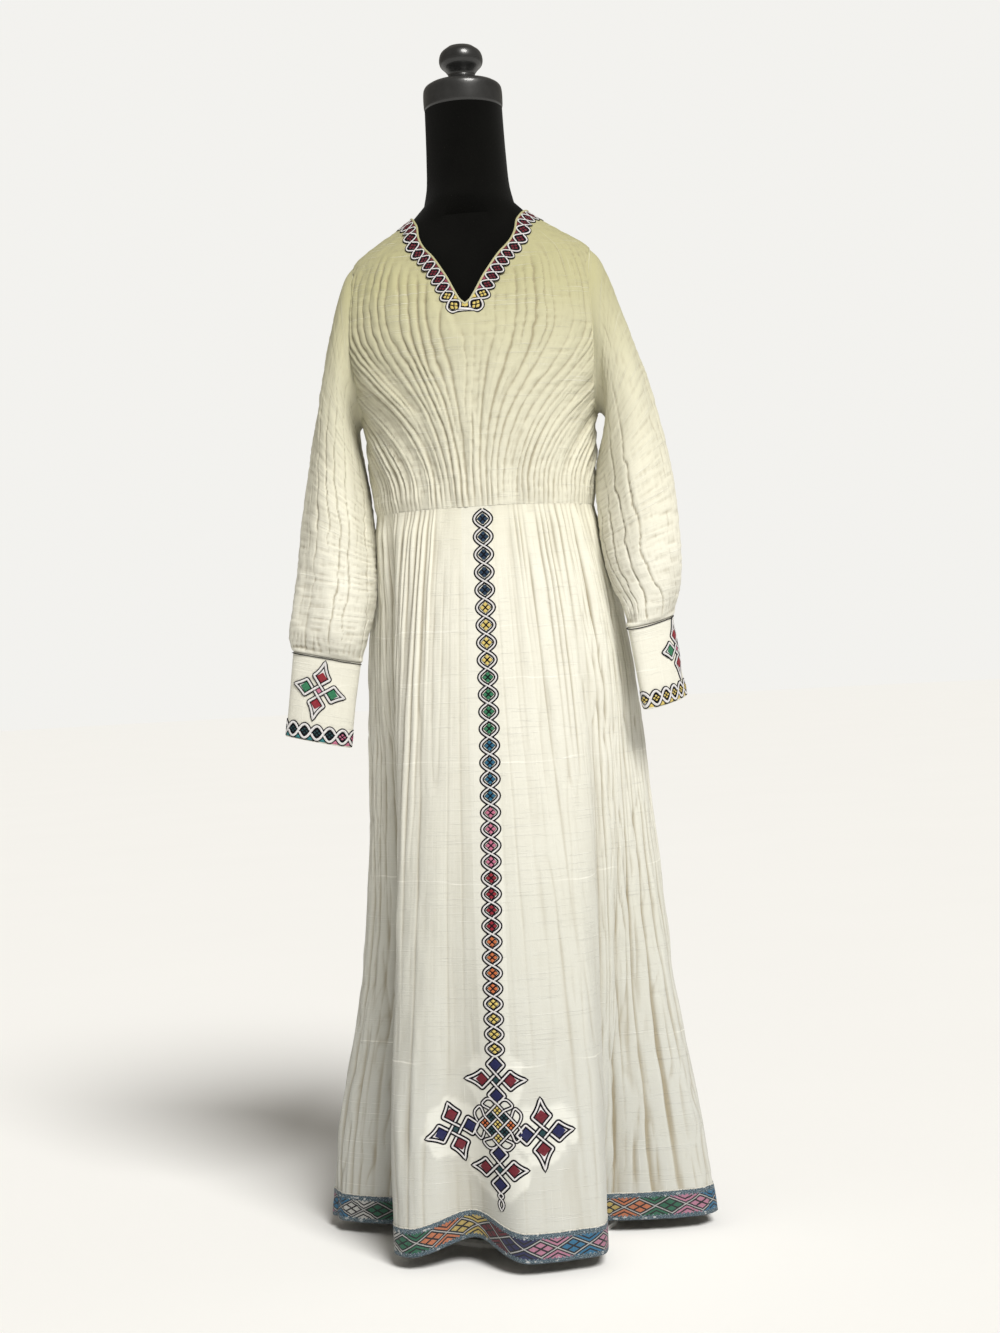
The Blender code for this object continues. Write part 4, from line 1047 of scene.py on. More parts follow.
class Embroidery:
    """Ribbons and satin patches gathered into three pieces on one surface. The surface is
    a function of (across, up, height above the cloth), all in metres."""

    def __init__(self, surface, lift=0.0):
        self.surface, self.lift = surface, lift
        self.parts = {"outline": [], "ribbon": [], "satin": []}

    def add(self, kind, flat, heights, uvs, colour=0):
        """A grid laid on the surface: flat is its (rows, columns, 2) places."""
        heights = np.where(heights > 0, heights + self.lift, heights)
        points = self.surface(flat[..., 0], flat[..., 1], heights)
        self.parts[kind].append((points, uvs, colour))

    def ribbon(self, path, width=0.0026, edge=0.0011, over=(), rise=None, closed=False):
        """A silver ribbon between two black lines along a path. It rises where it passes
        over another: near the places in over, or by rise at each point of the path."""
        path = np.asarray(path, float)
        if closed:
            along = normalise(np.roll(path, -1, axis=0) - np.roll(path, 1, axis=0))
        else:
            along = normalise(np.gradient(path, axis=0))
        sideways = np.stack([-along[:, 1], along[:, 0]], 1)
        if rise is None:
            rise = np.zeros(len(path))
            for place in over:
                near = np.linalg.norm(path - np.asarray(place), axis=1) / CROSSING_REACH
                rise = np.maximum(rise, CROSSING_RISE * np.exp(-(near**2)))
        if closed:
            path, sideways, rise = (np.concatenate([a, a[:1]]) for a in (path, sideways, rise))
        run = lengths_along(path)
        half = width / 2
        profiles = {
            "outline": ((-half - edge, -0.0002), (-half - edge * 0.8, 0.00055),
                        (half + edge * 0.8, 0.00055), (half + edge, -0.0002)),
            "ribbon": ((-half, 0.0004), (-half * 0.75, 0.00085), (0.0, 0.00100),
                       (half * 0.75, 0.00085), (half, 0.0004)),
        }
        for kind, profile in profiles.items():
            offs = np.array([p[0] for p in profile])
            tops = np.array([p[1] for p in profile])
            flat = path[:, None, :] + sideways[:, None, :] * offs[None, :, None]
            heights = tops[None, :] + rise[:, None] * (tops[None, :] > 0)
            across, along_it = np.meshgrid(offs, run)
            self.add(kind, flat, heights, np.stack([across, along_it], -1))

    def patch(self, corners, colour, kind="satin", base=0.00035, dome=0.00035, steps=4):
        """A satin patch between four corners, raised in its middle."""
        a, b, c, d = (np.asarray(p, float) for p in corners)
        s = np.linspace(0, 1, steps + 1)[:, None, None]
        t = np.linspace(0, 1, steps + 1)[None, :, None]
        flat = (a * (1 - s) + b * s) * (1 - t) + (d * (1 - s) + c * s) * t
        s, t = s[..., 0], t[..., 0]
        heights = base + dome * (1 - (2 * s - 1) ** 4) * (1 - (2 * t - 1) ** 4)
        edge = (np.abs(2 * s - 1) > 0.999) | (np.abs(2 * t - 1) > 0.999)
        heights = np.where(edge, -0.0002, heights)
        self.add(kind, flat, heights, flat.copy(), colour=colour)

    def diamond(self, middle, half_across, half_up, colour, parts=4, turn=0.0, gap=0.0009,
                margin=0.0016, base=0.0003):
        """A diamond of one or four satin patches on a black ground."""
        middle = np.asarray(middle, float)
        turned = np.array([[math.cos(turn), -math.sin(turn)], [math.sin(turn), math.cos(turn)]])

        def corners(centre, across, up):
            centre = np.asarray(centre, float)
            shape = np.array([(across, 0), (0, up), (-across, 0), (0, -up)])
            return [middle + turned @ (centre + p) for p in shape]

        wide, high = half_across + margin, half_up + margin
        self.patch(corners((0, 0), wide, high), 0, "outline", base=base, dome=0.0)
        if parts == 1:
            self.patch(corners((0, 0), half_across, half_up), colour, base=base + 0.0001, steps=8)
            return
        across, up = half_across / 2 - gap / 2, half_up / 2 - gap / 2
        for centre in ((half_across / 2, 0), (0, half_up / 2),
                       (-half_across / 2, 0), (0, -half_up / 2)):
            self.patch(corners(centre, across, up), colour, base=base + 0.0002)

    def make(self, prefix, materials, satin_materials):
        """The outline, ribbon and satin pieces."""
        made = []
        for kind, parts in self.parts.items():
            if not parts:
                continue
            points, faces, uvs, colours, first = [], [], [], [], 0
            for grid, places, colour in parts:
                rows, columns = grid.shape[:2]
                made_faces, corners = grid_faces(rows, columns, first=first)
                points.append(grid.reshape(-1, 3))
                faces.append(made_faces)
                uvs.append(places.reshape(-1, 2)[corners.ravel()])
                colours.append(np.full(len(made_faces), colour))
                first += rows * columns
            used = satin_materials if kind == "satin" else [materials[kind]]
            made.append(make_piece(
                f"{prefix}_{kind}", np.concatenate(points), np.concatenate(faces), used,
                np.concatenate(uvs), np.concatenate(colours),
            ))
        return made


def interlace(work, stops, half, level=0.0, way=(0.0, -1.0), steps=12, width=0.0026,
              edge=0.0011, drift=None):
    """Two ribbons that cross at each stop, like a chain. stops are places along the way.
    An upright chain may drift sideways, by a function of its height."""
    way = np.asarray(way, float)
    sideways = np.array([-way[1], way[0]])
    count = np.linspace(0, len(stops) - 1, (len(stops) - 1) * steps + 1)
    run = np.interp(count, np.arange(len(stops)), stops)
    swing = np.sin(np.pi * count)
    swing = half * np.sign(swing) * np.abs(swing) ** 0.92
    for k, side in enumerate((1, -1)):
        path = way * run[:, None] + sideways * (side * swing + level)[:, None]
        over = np.array([way * stop + sideways * level for stop in stops[k::2]])
        if drift:
            path[:, 0] += drift(path[:, 1])
            over[:, 0] += drift(over[:, 1])
        work.ribbon(path, width, edge, over)


def curve(first, control, last, steps=8):
    """A quadratic curve between two points."""
    t = np.linspace(0, 1, steps)[:, None]
    first, control, last = (np.asarray(p, float) for p in (first, control, last))
    return (1 - t) ** 2 * first + 2 * t * (1 - t) * control + t**2 * last


def turned_places(middle, turn, across, up):
    """Places turned about a middle."""
    cos, sin = math.cos(math.radians(turn)), math.sin(math.radians(turn))
    return np.stack([middle[0] + across * cos - up * sin, middle[1] + across * sin + up * cos], -1)


LEAN = math.sqrt(0.5)
NEAR_SHARE = 0.40
FAR_SHARE = 1.60


def leaned(places):
    """Places on a square grid, turned to stand on its corner."""
    return LEAN * (places[:, 0] - places[:, 1]), LEAN * (places[:, 0] + places[:, 1])


def knot(work, middle, cell, tips, colours, centre_colour, turn=0.0, width=0.0024, edge=0.0023):
    """Four diamonds in kite-shaped petals round a small one, drawn by one ribbon that
    crosses itself four times. tips are how far the up, right, down and left points reach
    from the middle, colours are those diamonds' thread colours."""
    half, far = cell * NEAR_SHARE, cell * FAR_SHARE
    soft = cell * 0.13
    path, rise = [], []
    for k, (sign_p, sign_q) in enumerate(((1, 1), (1, -1), (-1, -1), (-1, 1))):
        line = np.linspace(-(far - soft), far - soft, 18)
        level = np.full_like(line, half)
        leg = ((line, level), (level, -line), (-line, -level), (-level, line))[k]
        path.append(np.stack(leg, -1))
        rise.append(CROSSING_RISE * np.exp(-(((line + half) / CROSSING_REACH) ** 2)))
        tip = max(tips[k] * LEAN, far)
        bend = (far * 1.03, far * 0.80) if tip > far * 1.05 else (far, far * 0.80)
        side = (far, half + soft)
        corner = curve((far - soft, half), (far, half), side, 5)[1:]
        rising = curve(side, bend, (tip, tip), 10)[1:]
        there = np.concatenate([corner, rising])
        back = there[::-1][1:, ::-1]
        around = np.concatenate([there, back])
        if k % 2:
            around = around[:, ::-1]
        path.append(around[:-1] * (sign_p, sign_q))
        rise.append(np.zeros(len(around) - 1))
        inner_tip = tip * 0.97
        ground = np.array([(half, half), (far, half), (inner_tip, inner_tip), (half, far)])
        ground = turned_places(middle, turn, *leaned(ground * (sign_p, sign_q)))
        work.patch(ground if k % 2 == 0 else ground[::-1], 0, "ribbon", base=0.00025, dome=0.0)
    path, rise = np.concatenate(path), np.concatenate(rise)
    flat = turned_places(middle, turn, *leaned(path))
    work.ribbon(flat, width, edge, rise=rise, closed=True)
    size = (far - half - width - edge * 0.6) * LEAN
    off = cell * 2 * LEAN
    for (across, up), colour in zip(((0, off), (off, 0), (0, -off), (-off, 0)), colours):
        place = turned_places(middle, turn, across, up)
        work.diamond(place, size, size, colour, 1, math.radians(turn), margin=0.0014, base=0.0008)
    size = (half * 2 - width - edge * 0.4) * LEAN
    work.diamond(middle, size, size, centre_colour, 1, math.radians(turn), margin=0.0020)


def plait(work, middle, cell, loop, colours, width=0.0020, edge=0.0019):
    """A lattice of nine diamonds woven from four closed loops, whose ends stand out."""
    lines = (np.arange(4) - 1.5) * cell
    end = cell * 1.5
    for upright in (True, False):
        for first in (0, 2):
            low, high = lines[first], lines[first + 1]
            centre, half = (low + high) / 2, (high - low) / 2
            straight = np.linspace(-end, end, 22)
            turn = np.radians(np.linspace(0, 180, 19))[1:-1]
            bulge = np.abs(np.sin(turn)) ** 0.75 * loop
            one = np.stack([np.full_like(straight, low), straight], -1)
            rounded = np.sign(np.cos(turn)) * np.abs(np.cos(turn)) ** 0.6
            wide = half * rounded * (1 + 0.45 * np.sin(turn))
            lean = -np.sign(centre) * cell * 0.42 * np.sin(turn)
            over_top = np.stack([centre - wide + lean, end + bulge], -1)
            two = np.stack([np.full_like(straight, high), -straight], -1)
            under = np.stack([centre + wide + lean, -end - bulge], -1)
            path = np.concatenate([one, over_top, two, under])
            over = [
                (lines[i], lines[j]) for i in (first, first + 1) for j in range(4)
                if (i + j) % 2 == (0 if upright else 1)
            ]
            over = np.array(over)
            if not upright:
                path, over = path[:, ::-1], over[:, ::-1]
            path, over = (np.stack(leaned(p), -1) + middle for p in (path, over))
            work.ribbon(path, width, edge, over, closed=True)
    size = (cell - width - edge) * LEAN
    for (p, q), colour in colours.items():
        spot = (middle[0] + LEAN * (p - q) * cell, middle[1] + LEAN * (p + q) * cell)
        work.diamond(spot, size * 1.10, size * 1.10, colour, gap=0.0006, margin=0.0018)


def edging(work, girth, pitch, depth, cell_colour, tooth_colour, start=0.5, width=0.0026,
           edge=0.0010):
    """A scalloped band along an edge: a chain of cells, each with a four-part diamond, and
    a tooth of plain colour in each notch on the edge's side."""
    cells = int(round(girth / pitch / 2)) * 2
    step = girth / cells
    stops = np.linspace(0, girth, cells + 1) - girth / 2 + start * step
    half = (depth - width - 2 * edge) / 2
    level = depth / 2
    interlace(work, stops, half, level, way=(1.0, 0.0), width=width, edge=edge)
    for k in range(cells):
        middle = stops[k] + step / 2
        inner_half = half - width / 2 - edge
        work.diamond((middle, level), step * 0.36, inner_half * 0.90, cell_colour(middle),
                     gap=0.0004, margin=0.0034)
        tooth = stops[k]
        wide, tall = step * 0.34, level - 0.0012
        corners = ((tooth - wide, 0.0008), (tooth + wide, 0.0008),
                   (tooth + 0.0006, tall * 0.62), (tooth - 0.0006, tall * 0.62))
        ground = ((tooth - step / 2, 0.0004), (tooth + step / 2, 0.0004),
                  (tooth + 0.001, level * 0.95), (tooth - 0.001, level * 0.95))
        work.patch(ground, 0, "outline", base=0.00025, dome=0.0)
        work.patch(corners, tooth_colour(tooth))


# The dress
SHADES = list(THREADS)


def colour_index(name):
    return SHADES.index(name)


def row_at(rows, at):
    """Where a bodice row starts and ends, at a fractional row number."""
    numbers = np.arange(len(rows))
    start_angle = np.interp(at, numbers, [row[0] for row in rows])
    middle = rows[0][0]
    first_on_neck = next(k for k, row in enumerate(rows) if row[1] is None)
    heights = [row[1] if row[1] is not None else neckline_height(row[0]) for row in rows]
    start_height = np.interp(at, numbers, heights)
    start_height = np.where(at >= first_on_neck, neckline_height(start_angle), start_height)
    start_angle = np.where(at < first_on_neck, middle, start_angle)
    first_on_armhole = next(k for k, row in enumerate(rows) if row[3] is not None)
    side_heights = [row[2] if row[3] is None else ARMHOLE_BOTTOM for row in rows]
    stations = [row[3] if row[3] is not None else rows[first_on_armhole][3] for row in rows]
    station = np.interp(at, numbers, stations)
    hole_angle, hole_height = armhole_place(station)
    on_side = at < first_on_armhole
    end_angle = np.where(on_side, 90.0, hole_angle)
    end_height = np.where(on_side, np.interp(at, numbers, side_heights), hole_height)
    return start_angle, start_height, end_angle, end_height


def bodice_panel(name, node, rows, row_count, half_columns, material):
    """A bodice panel over both halves, on the same rows as its solid."""
    at = np.linspace(0, len(rows) - 1, row_count)
    start_angle, start_height, end_angle, end_height = (v[:, None] for v in row_at(rows, at))
    share = np.linspace(0, 1, half_columns)[None, :]
    angle = blend(start_angle, end_angle, share)
    height = blend(start_height, end_height, share)
    middle = rows[0][0]
    points, faces, uvs, hollow, first = [], [], [], [], 0
    for side in (1, -1):
        grid = bodice_surface(angle * side, height)
        hollow.append(hollows(bodice_relief(angle * side, height), 2, 4, 0.0013))
        out = bodice_outward(angle * side, height)
        near_shoulder = smooth_step(1 - (len(rows) - 1 - at[:, None]) / 0.35)
        near_side = smooth_step(1 - (1 - share) / 0.03)
        sunk = 0.0010 * np.maximum(near_shoulder, near_side)
        grid = grid - out * sunk[..., None]
        around = np.radians(angle) * side * 0.150
        places = np.stack([around, height], -1)
        flip = (side > 0) != (middle == 0.0)
        made, corners = grid_faces(row_count, half_columns, first=first, flip=flip)
        points.append(grid.reshape(-1, 3))
        faces.append(made)
        uvs.append(places.reshape(-1, 2)[corners.ravel()])
        first += row_count * half_columns
    piece = make_piece(name, np.concatenate(points), np.concatenate(faces), [material],
                       np.concatenate(uvs))
    # The crease share paints shade into the pleats' hollows.
    add_shares(piece, "crease", hollow)
    weld(piece)
    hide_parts(node)
    return piece


def weld(piece, distance=0.00002):
    """Joins a piece's coinciding points and drops faces without area."""
    work = bmesh.new()
    work.from_mesh(piece.data)
    bmesh.ops.remove_doubles(work, verts=work.verts, dist=distance)
    bmesh.ops.dissolve_degenerate(work, edges=work.edges, dist=distance / 2)
    work.to_mesh(piece.data)
    work.free()
    piece.data.shade_smooth()


def skirt_panel(name, node, start, end, row_count, columns, material):
    """A skirt panel from the waist seam to the hem."""
    angle = np.linspace(start, end, columns)[None, :]
    share = np.linspace(1, 0, row_count)[:, None]
    top = WAIST_HEIGHT - SEAM_GAP / 2
    height = blend(top, hem_height(angle), share)
    angle = np.broadcast_to(angle, height.shape)
    points = skirt_surface(angle, height)
    around = np.radians(angle) * 0.22
    piece = cloth_sheet(name, points, np.stack([around, height], -1), material)
    # The crease share paints shade into the gathers' hollows and the large folds' valleys.
    fine = hollows(skirt_relief(angle, height), 2, 5, 0.0014)
    radius = skirt_radius(angle, height) + skirt_relief(angle, height)
    deep = hollows(radius, 3, round(columns / (end - start) * 5), 0.0085)
    add_shares(piece, "crease", np.minimum(0.75 * fine + 1.10 * deep, 1.35))
    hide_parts(node)
    return piece


# the middles of the cross's arms: top, left, bottom, right of the wearer
ARM_MIDDLES = ((0.0, 0.2497), (0.0585, 0.1813), (0.0, 0.1352), (-0.0585, 0.1826))
CHAIN_TOP = 1.0045
CHAIN_END = 0.2798
CHAIN_CELLS = 33
CHAIN_DRIFT = 0.0085
CHAIN_GROUPS = ("dark_blue", "yellow", "green", "blue", "pink", "crimson", "orange", "yellow")


def mark_backing(piece):
    """Where the embroidery's backing shows through the skirt's front."""
    mesh = piece.data
    at = np.empty(len(mesh.vertices) * 3)
    mesh.vertices.foreach_get("co", at)
    x, _, z = at.reshape(-1, 3).T
    ragged = 0.007 * noise(x / 0.017, z / 0.017, 61) + 0.003 * noise(x / 0.009, z / 0.009, 62)
    strip = smooth_step((0.0215 - np.abs(x)) / 0.0015) * (z > CROSS_MIDDLE[1] + 0.05)
    arm = np.full_like(x, 1.0)
    for (across, up), size in ((CROSS_MIDDLE, 0.036), *((place, 0.040) for place in ARM_MIDDLES)):
        arm = np.minimum(arm, np.hypot(x - across, z - up) - size)
    cut = smooth_step((0.003 - arm - ragged) / 0.006)
    add_shares(piece, "backing", np.maximum(0.6 * strip, cut))


def chain_drift(up):
    """How far the chain hangs to the wearer's left of the middle at a height."""
    return CHAIN_DRIFT * smooth_step((np.asarray(up) - 0.28) / 0.50)


def sew_skirt_front(materials, satins):
    """The chain down the middle of the skirt and the cross below it."""
    work = Embroidery(skirt_front_place)
    share = np.arange(CHAIN_CELLS)
    pitch = 1.13 - 0.26 * share / (CHAIN_CELLS - 1)
    pitch = pitch / pitch.sum() * (CHAIN_TOP - CHAIN_END)
    stops = CHAIN_TOP - np.concatenate([[0.0], np.cumsum(pitch)])
    interlace(work, -stops, 0.0114, width=0.0024, edge=0.0021, drift=chain_drift)
    for k in range(CHAIN_CELLS):
        group = max(k - 1, 0) // 4
        up = (stops[k] + stops[k + 1]) / 2
        middle = (chain_drift(up), up)
        colour = colour_index(CHAIN_GROUPS[group])
        work.diamond(middle, 0.0082, pitch[k] * 0.370, colour, gap=0.0008, margin=0.0022)

    navy, red, teal = (colour_index(name) for name in ("navy", "maroon", "teal"))
    top, right, bottom, left = ARM_MIDDLES
    knot(work, top, 0.0140, (0, 0.0405, 0, 0.0425), (navy, red, navy, red), teal)
    knot(work, right, 0.0148, (0.0440, 0.0395, 0.0475, 0), (red, navy, red, navy), teal, 2)
    knot(work, bottom, 0.0140, (0, 0.0385, 0, 0.0385), (navy, red, navy, red), teal)
    knot(work, left, 0.0142, (0.0365, 0, 0.0410, 0.0410), (red, navy, red, navy), teal, 15)
    yellow, orange = colour_index("yellow"), colour_index("orange")
    plait(work, CROSS_MIDDLE, 0.0126, 0.0142, {
        (1, 1): yellow, (0, 0): yellow, (-1, -1): yellow, (-1, 1): orange, (1, -1): orange,
        (1, 0): teal, (0, 1): teal, (-1, 0): teal, (0, -1): teal,
    })
    tail = bottom[1] - 0.0140 * FAR_SHARE / LEAN
    stops = -np.array([tail + 0.001, tail - 0.0065, tail - 0.0215])
    interlace(work, stops, 0.0034, width=0.0019, edge=0.0015)
    return work.make("skirt_sewing", materials, satins)


CUFF_KNOT_HEIGHT = 0.60
CUFF_KNOT_CELL = 0.0136
CUFF_KNOT_TIPS = (0.0415, 0.0362, 0.0415, 0.0362)


def sew_cuff(prefix, cuff, materials, satins, edge_colours, shift, turn):
    """The knot, the scalloped edging and the dark line of stitches on a cuff."""
    work = Embroidery(cuff.place, 0.0005)
    red, green, pink = (colour_index(name) for name in ("crimson", "green", "pink"))
    middle = (shift, cuff.length * CUFF_KNOT_HEIGHT)
    knot(work, middle, CUFF_KNOT_CELL, CUFF_KNOT_TIPS, (red, green, red, green), pink, turn,
         0.0031, 0.0016)
    edging(work, cuff.girth, 0.0185, 0.0250, *edge_colours, width=0.0034, edge=0.0015)
    across = np.linspace(-cuff.girth / 2, cuff.girth / 2, 160)
    up = cuff.length - 0.0016 + 0.0005 * noise(across / 0.012, 0.5, 71)
    path = np.stack([across, up], -1)
    add_plain_line(work, path, 0.0013)
    return work.make(prefix, materials, satins)


def add_plain_line(work, path, width):
    """A raised line of dark stitches."""
    along = normalise(np.gradient(path, axis=0))
    sideways = np.stack([-along[:, 1], along[:, 0]], 1)
    offs = np.array([-0.5, -0.35, 0.0, 0.35, 0.5]) * width
    tops = np.array([-0.0002, 0.0006, 0.0009, 0.0006, -0.0002])
    flat = path[:, None, :] + sideways[:, None, :] * offs[None, :, None]
    heights = np.broadcast_to(tops[None, :], flat.shape[:2])
    across, run = np.meshgrid(offs, lengths_along(path))
    work.add("outline", flat, heights, np.stack([across, run], -1))


def make_cuff(name, node, cuff, material):
    """A plain cuff: an outer face, the turned lower edge and a facing inside it."""
    columns = 150
    across = (np.arange(columns) / columns) * cuff.girth
    ups = np.linspace(cuff.length, 0.0, 44)
    facing = np.linspace(0.0, cuff.length * 0.96, 20)
    up = np.concatenate([ups, [-0.0006, -0.0006], facing])
    out = np.concatenate([np.zeros(44), [-0.0004, -0.0014], np.full(20, -0.0020)])
    points = cuff.place(across[None, :], up[:, None], out[:, None])
    wide = np.arange(columns + 1) / columns * cuff.girth
    run = np.concatenate([up[:44], -np.arange(1, 23) * 0.005])
    uvs = np.stack(np.broadcast_arrays(wide[None, :], run[:, None]), -1)
    piece = cloth_sheet(name, points, uvs, material, closed=True, flip=True)
    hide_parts(node)
    return piece


def make_sleeve(name, node, table, side, seed, material):
    columns, rows = 200, 236
    points, along, hollow = sleeve_points(table, side, rows, columns, seed)
    wide = np.arange(columns + 1) / columns * 0.34
    uvs = np.stack(np.broadcast_arrays(wide[None, :], -along[:, None]), -1)
    piece = cloth_sheet(name, points, uvs, material, closed=True, flip=side > 0)
    # The crease share paints shade into the sleeve's creases.
    add_shares(piece, "crease", hollow)
    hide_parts(node)
    return piece, along[-1]


# the pattern's place at the middle of the front, and where the band is joined, turned round
HEM_PHASE = 6.2 * HEM_DIAMOND_PITCH
HEM_JOIN = 51.3
# how much longer the pattern runs through the valley before an angle
HEM_SLACK = 1.95 * HEM_DIAMOND_PITCH
HEM_SLACK_ANGLE = 360.0 - 51.0
# height above the hem's edge, height above the skirt's cloth
HEM_BAND_PROFILE = (
    (0.006, -0.0012), (0.003, -0.0012), (0.0005, -0.0010), (-0.0008, 0.0002), (0.0, 0.0012),
    (0.005, 0.0013), (0.010, 0.0013), (0.015, 0.0013), (0.020, 0.0013), (0.025, 0.0013),
    (0.030, 0.0013), (0.034, 0.0013), (0.037, 0.0013), (HEM_BAND_HEIGHT, 0.0012),
    (HEM_BAND_HEIGHT, 0.0002),
)


def make_hem_band(material):
    """The woven band on the skirt's lower edge, turned up a little inside it."""
    columns = 1300
    angle = 180.0 + np.arange(columns + 1) * 360.0 / columns
    low = hem_height(angle)
    rise, out = (np.array(column) for column in zip(*HEM_BAND_PROFILE))
    height = low[None, :] + rise[:, None]
    points = skirt_surface(np.broadcast_to(angle, height.shape), height, out[:, None])
    run = lengths_along(points[7])
    count = round(run[-1] / HEM_DIAMOND_PITCH / 8) * 8
    run = run / run[-1] * count * HEM_DIAMOND_PITCH
    middle, join = np.interp((360.0, 360.0 + HEM_JOIN), angle, run)
    run = np.where(run > join, 2 * join - run, run) - middle + HEM_PHASE
    run = run - HEM_SLACK * smooth_step((HEM_SLACK_ANGLE - angle) / 14)
    uvs = np.stack(np.broadcast_arrays(run, np.clip(rise, 0, 1)[:, None]), -1)
    piece = cloth_sheet("hem_band_cloth", points[:, :-1], uvs, material, closed=True)
    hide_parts("hem_band")
    return piece



# down from the neckline's edge, height above the bodice's cloth
PIPING_PROFILE = (
    (0.0050, -0.0016), (0.0024, -0.0018), (0.0010, -0.0018), (-0.0006, -0.0010),
    (-0.0012, 0.0002), (-0.0006, 0.0012), (0.0006, 0.0015), (0.0016, 0.0010),
    (0.0022, -0.0002),
)


def make_neck_trim(neckline, materials, satins, cotton):
    """The neck band: a cream piped edge, a dark ground and the scalloped embroidery."""
    work = Embroidery(neckline.place)
    red, rose, yellow = (colour_index(name) for name in ("maroon", "rose", "yellow"))

    def cell_colour(across):
        return yellow if abs(across) < 0.030 else red

    def tooth_colour(across):
        return yellow if abs(across) < 0.024 else rose if abs(across) < 0.075 else red

    edging(work, neckline.girth, 0.0158, NECK_TRIM_WIDTH - 0.0015, cell_colour, tooth_colour,
           start=0.0, width=0.0021, edge=0.0013)
    made = work.make("neck_sewing", materials, satins)
    columns = 420
    across = np.arange(columns) / columns * neckline.girth - neckline.girth / 2
    down, out = (np.array(column) for column in zip(*PIPING_PROFILE))
    points = neckline.place(across[None, :], down[:, None], out[:, None])
    wide = np.arange(columns + 1) / columns * neckline.girth
    run = np.cumsum(np.full(len(down), 0.0012))
    uvs = np.stack(np.broadcast_arrays(wide[None, :], run[:, None]), -1)
    piping = cloth_sheet("neck_piping", points, uvs, cotton, closed=True)
    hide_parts("neck_trim")
    return made + [piping]


# The form
def smooth_body(name, rings, material):
    """A smooth closed solid through rings, with flat ends."""
    rings = np.array(rings)
    rows, columns = rings.shape[:2]
    side, _ = grid_faces(rows, columns, closed=True)
    faces = side.tolist()
    mesh = bpy.data.meshes.new(name)
    faces += [list(range(columns))[::-1], list(range((rows - 1) * columns, rows * columns))]
    mesh.from_pydata(rings.reshape(-1, 3).tolist(), [], faces)
    mesh.materials.append(material)
    mesh.shade_smooth()
    mesh.set_sharp_from_angle(angle=math.radians(40))
    piece = bpy.data.objects.new(name, mesh)
    bpy.context.scene.collection.objects.link(piece)
    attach(piece, "root")
    return piece


def form_ring(half_width, front, behind, height, middle_y=0.0, columns=96):
    turn = np.linspace(0, math.tau, columns, endpoint=False)
    depth = np.where(np.cos(turn) > 0, front, behind)
    x, y = half_width * np.sin(turn), middle_y - depth * np.cos(turn)
    return np.stack([x, y, np.full(columns, height)], -1)


def make_form(jersey, lacquer):
    """The torso and neck, the cap on the neck and the turned knob."""
    _, half_width, front, behind = FORM_SECTIONS[0]
    rings = [
        form_ring(half_width * share, front * share, behind * share, height)
        for height, share in FORM_UNDERSIDE
    ]
    for height in np.linspace(FORM_SECTIONS[0][0], FORM_SECTIONS[-1][0], 40):
        rings.append(form_ring(*(float(v) for v in read_table(FORM_SECTIONS, height)), height))
    for height in FORM_SHOULDER_HEIGHTS:
        over = read_table(BODICE_SECTIONS, height + FORM_DROP)
        half_width, front, behind = (float(v) for v in over)
        rings.append(form_ring(half_width, front - FORM_INSET, behind - FORM_INSET, height))
    for height in np.linspace(FORM_NECK[0][0], FORM_NECK[-1][0], 18):
        radius, middle_y = (float(v) for v in read_table(FORM_NECK, height))
        rings.append(form_ring(radius, radius, radius, height, middle_y))
    torso = smooth_body("form_torso_jersey", rings, jersey)
    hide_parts("form_torso")
    made = [torso]
    for name, node, profile in (("form_cap_lacquer", "form_neck_cap", NECK_CAP_PROFILE),
                                ("form_knob_lacquer", "form_finial", FINIAL_PROFILE)):
        radii = np.array([p[0] for p in profile[1:-1]])
        heights = np.array([p[1] for p in profile[1:-1]])
        at = np.linspace(0, len(radii) - 1, (len(radii) - 1) * 5 + 1)
        table = np.stack([np.arange(len(radii)), radii, heights], -1)
        fine_radius, fine_height = read_table(table, at)
        turned = [form_ring(r, r, r, z, FINIAL_Y, 64) for r, z in zip(fine_radius, fine_height)]
        if profile[-1][1] != profile[-2][1]:
            for share in (0.66, 0.33, 0.06):
                height = blend(profile[-1][1], fine_height[-1], share**2)
                turned.append(form_ring(*(fine_radius[-1] * share,) * 3, height, FINIAL_Y, 64))
        piece = smooth_body(name, turned, lacquer)
        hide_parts(node)
        made.append(piece)
    return made


# Everything together
CAMERA_DISTANCE = 2.9
CAMERA_HEIGHT = 0.79
CAMERA_AZIMUTH = 6.0
CAMERA_ROLL = 3.0
CAMERA_SHIFT = 0.005
CAMERA_LENS = 55.0

KEY_SPREAD = 24.0
KEY_POWER = 3.60
KEY_AZIMUTH = 31.0
KEY_ELEVATION = 46.0
KEY_COLOUR = (1.0, 0.985, 0.95)
ROOM_LIGHT = 0.23
ROOM_LIGHT_COLOUR = (1.0, 0.945, 0.84)
ROOM_SEEN = 0.895
ROOM_SEEN_COLOUR = (1.0, 0.991, 0.960)
FLOOR_RADIUS = 40.0
FLOOR_TOP = -0.0005


def set_camera():
    data = bpy.data.cameras.new("camera")
    data.lens = CAMERA_LENS
    data.shift_x = CAMERA_SHIFT
    camera = bpy.data.objects.new("camera", data)
    bpy.context.scene.collection.objects.link(camera)
    turn = math.radians(CAMERA_AZIMUTH)
    camera.location = (
        CAMERA_DISTANCE * math.sin(turn), -CAMERA_DISTANCE * math.cos(turn), CAMERA_HEIGHT,
    )
    camera.rotation_euler = (math.radians(90), 0.0, turn)
    camera.rotation_mode = "XYZ"
    camera.matrix_world = (
        Matrix.Translation(camera.location) @ camera.rotation_euler.to_matrix().to_4x4()
        @ Matrix.Rotation(math.radians(-CAMERA_ROLL), 4, "Z")
    )
    bpy.context.scene.camera = camera


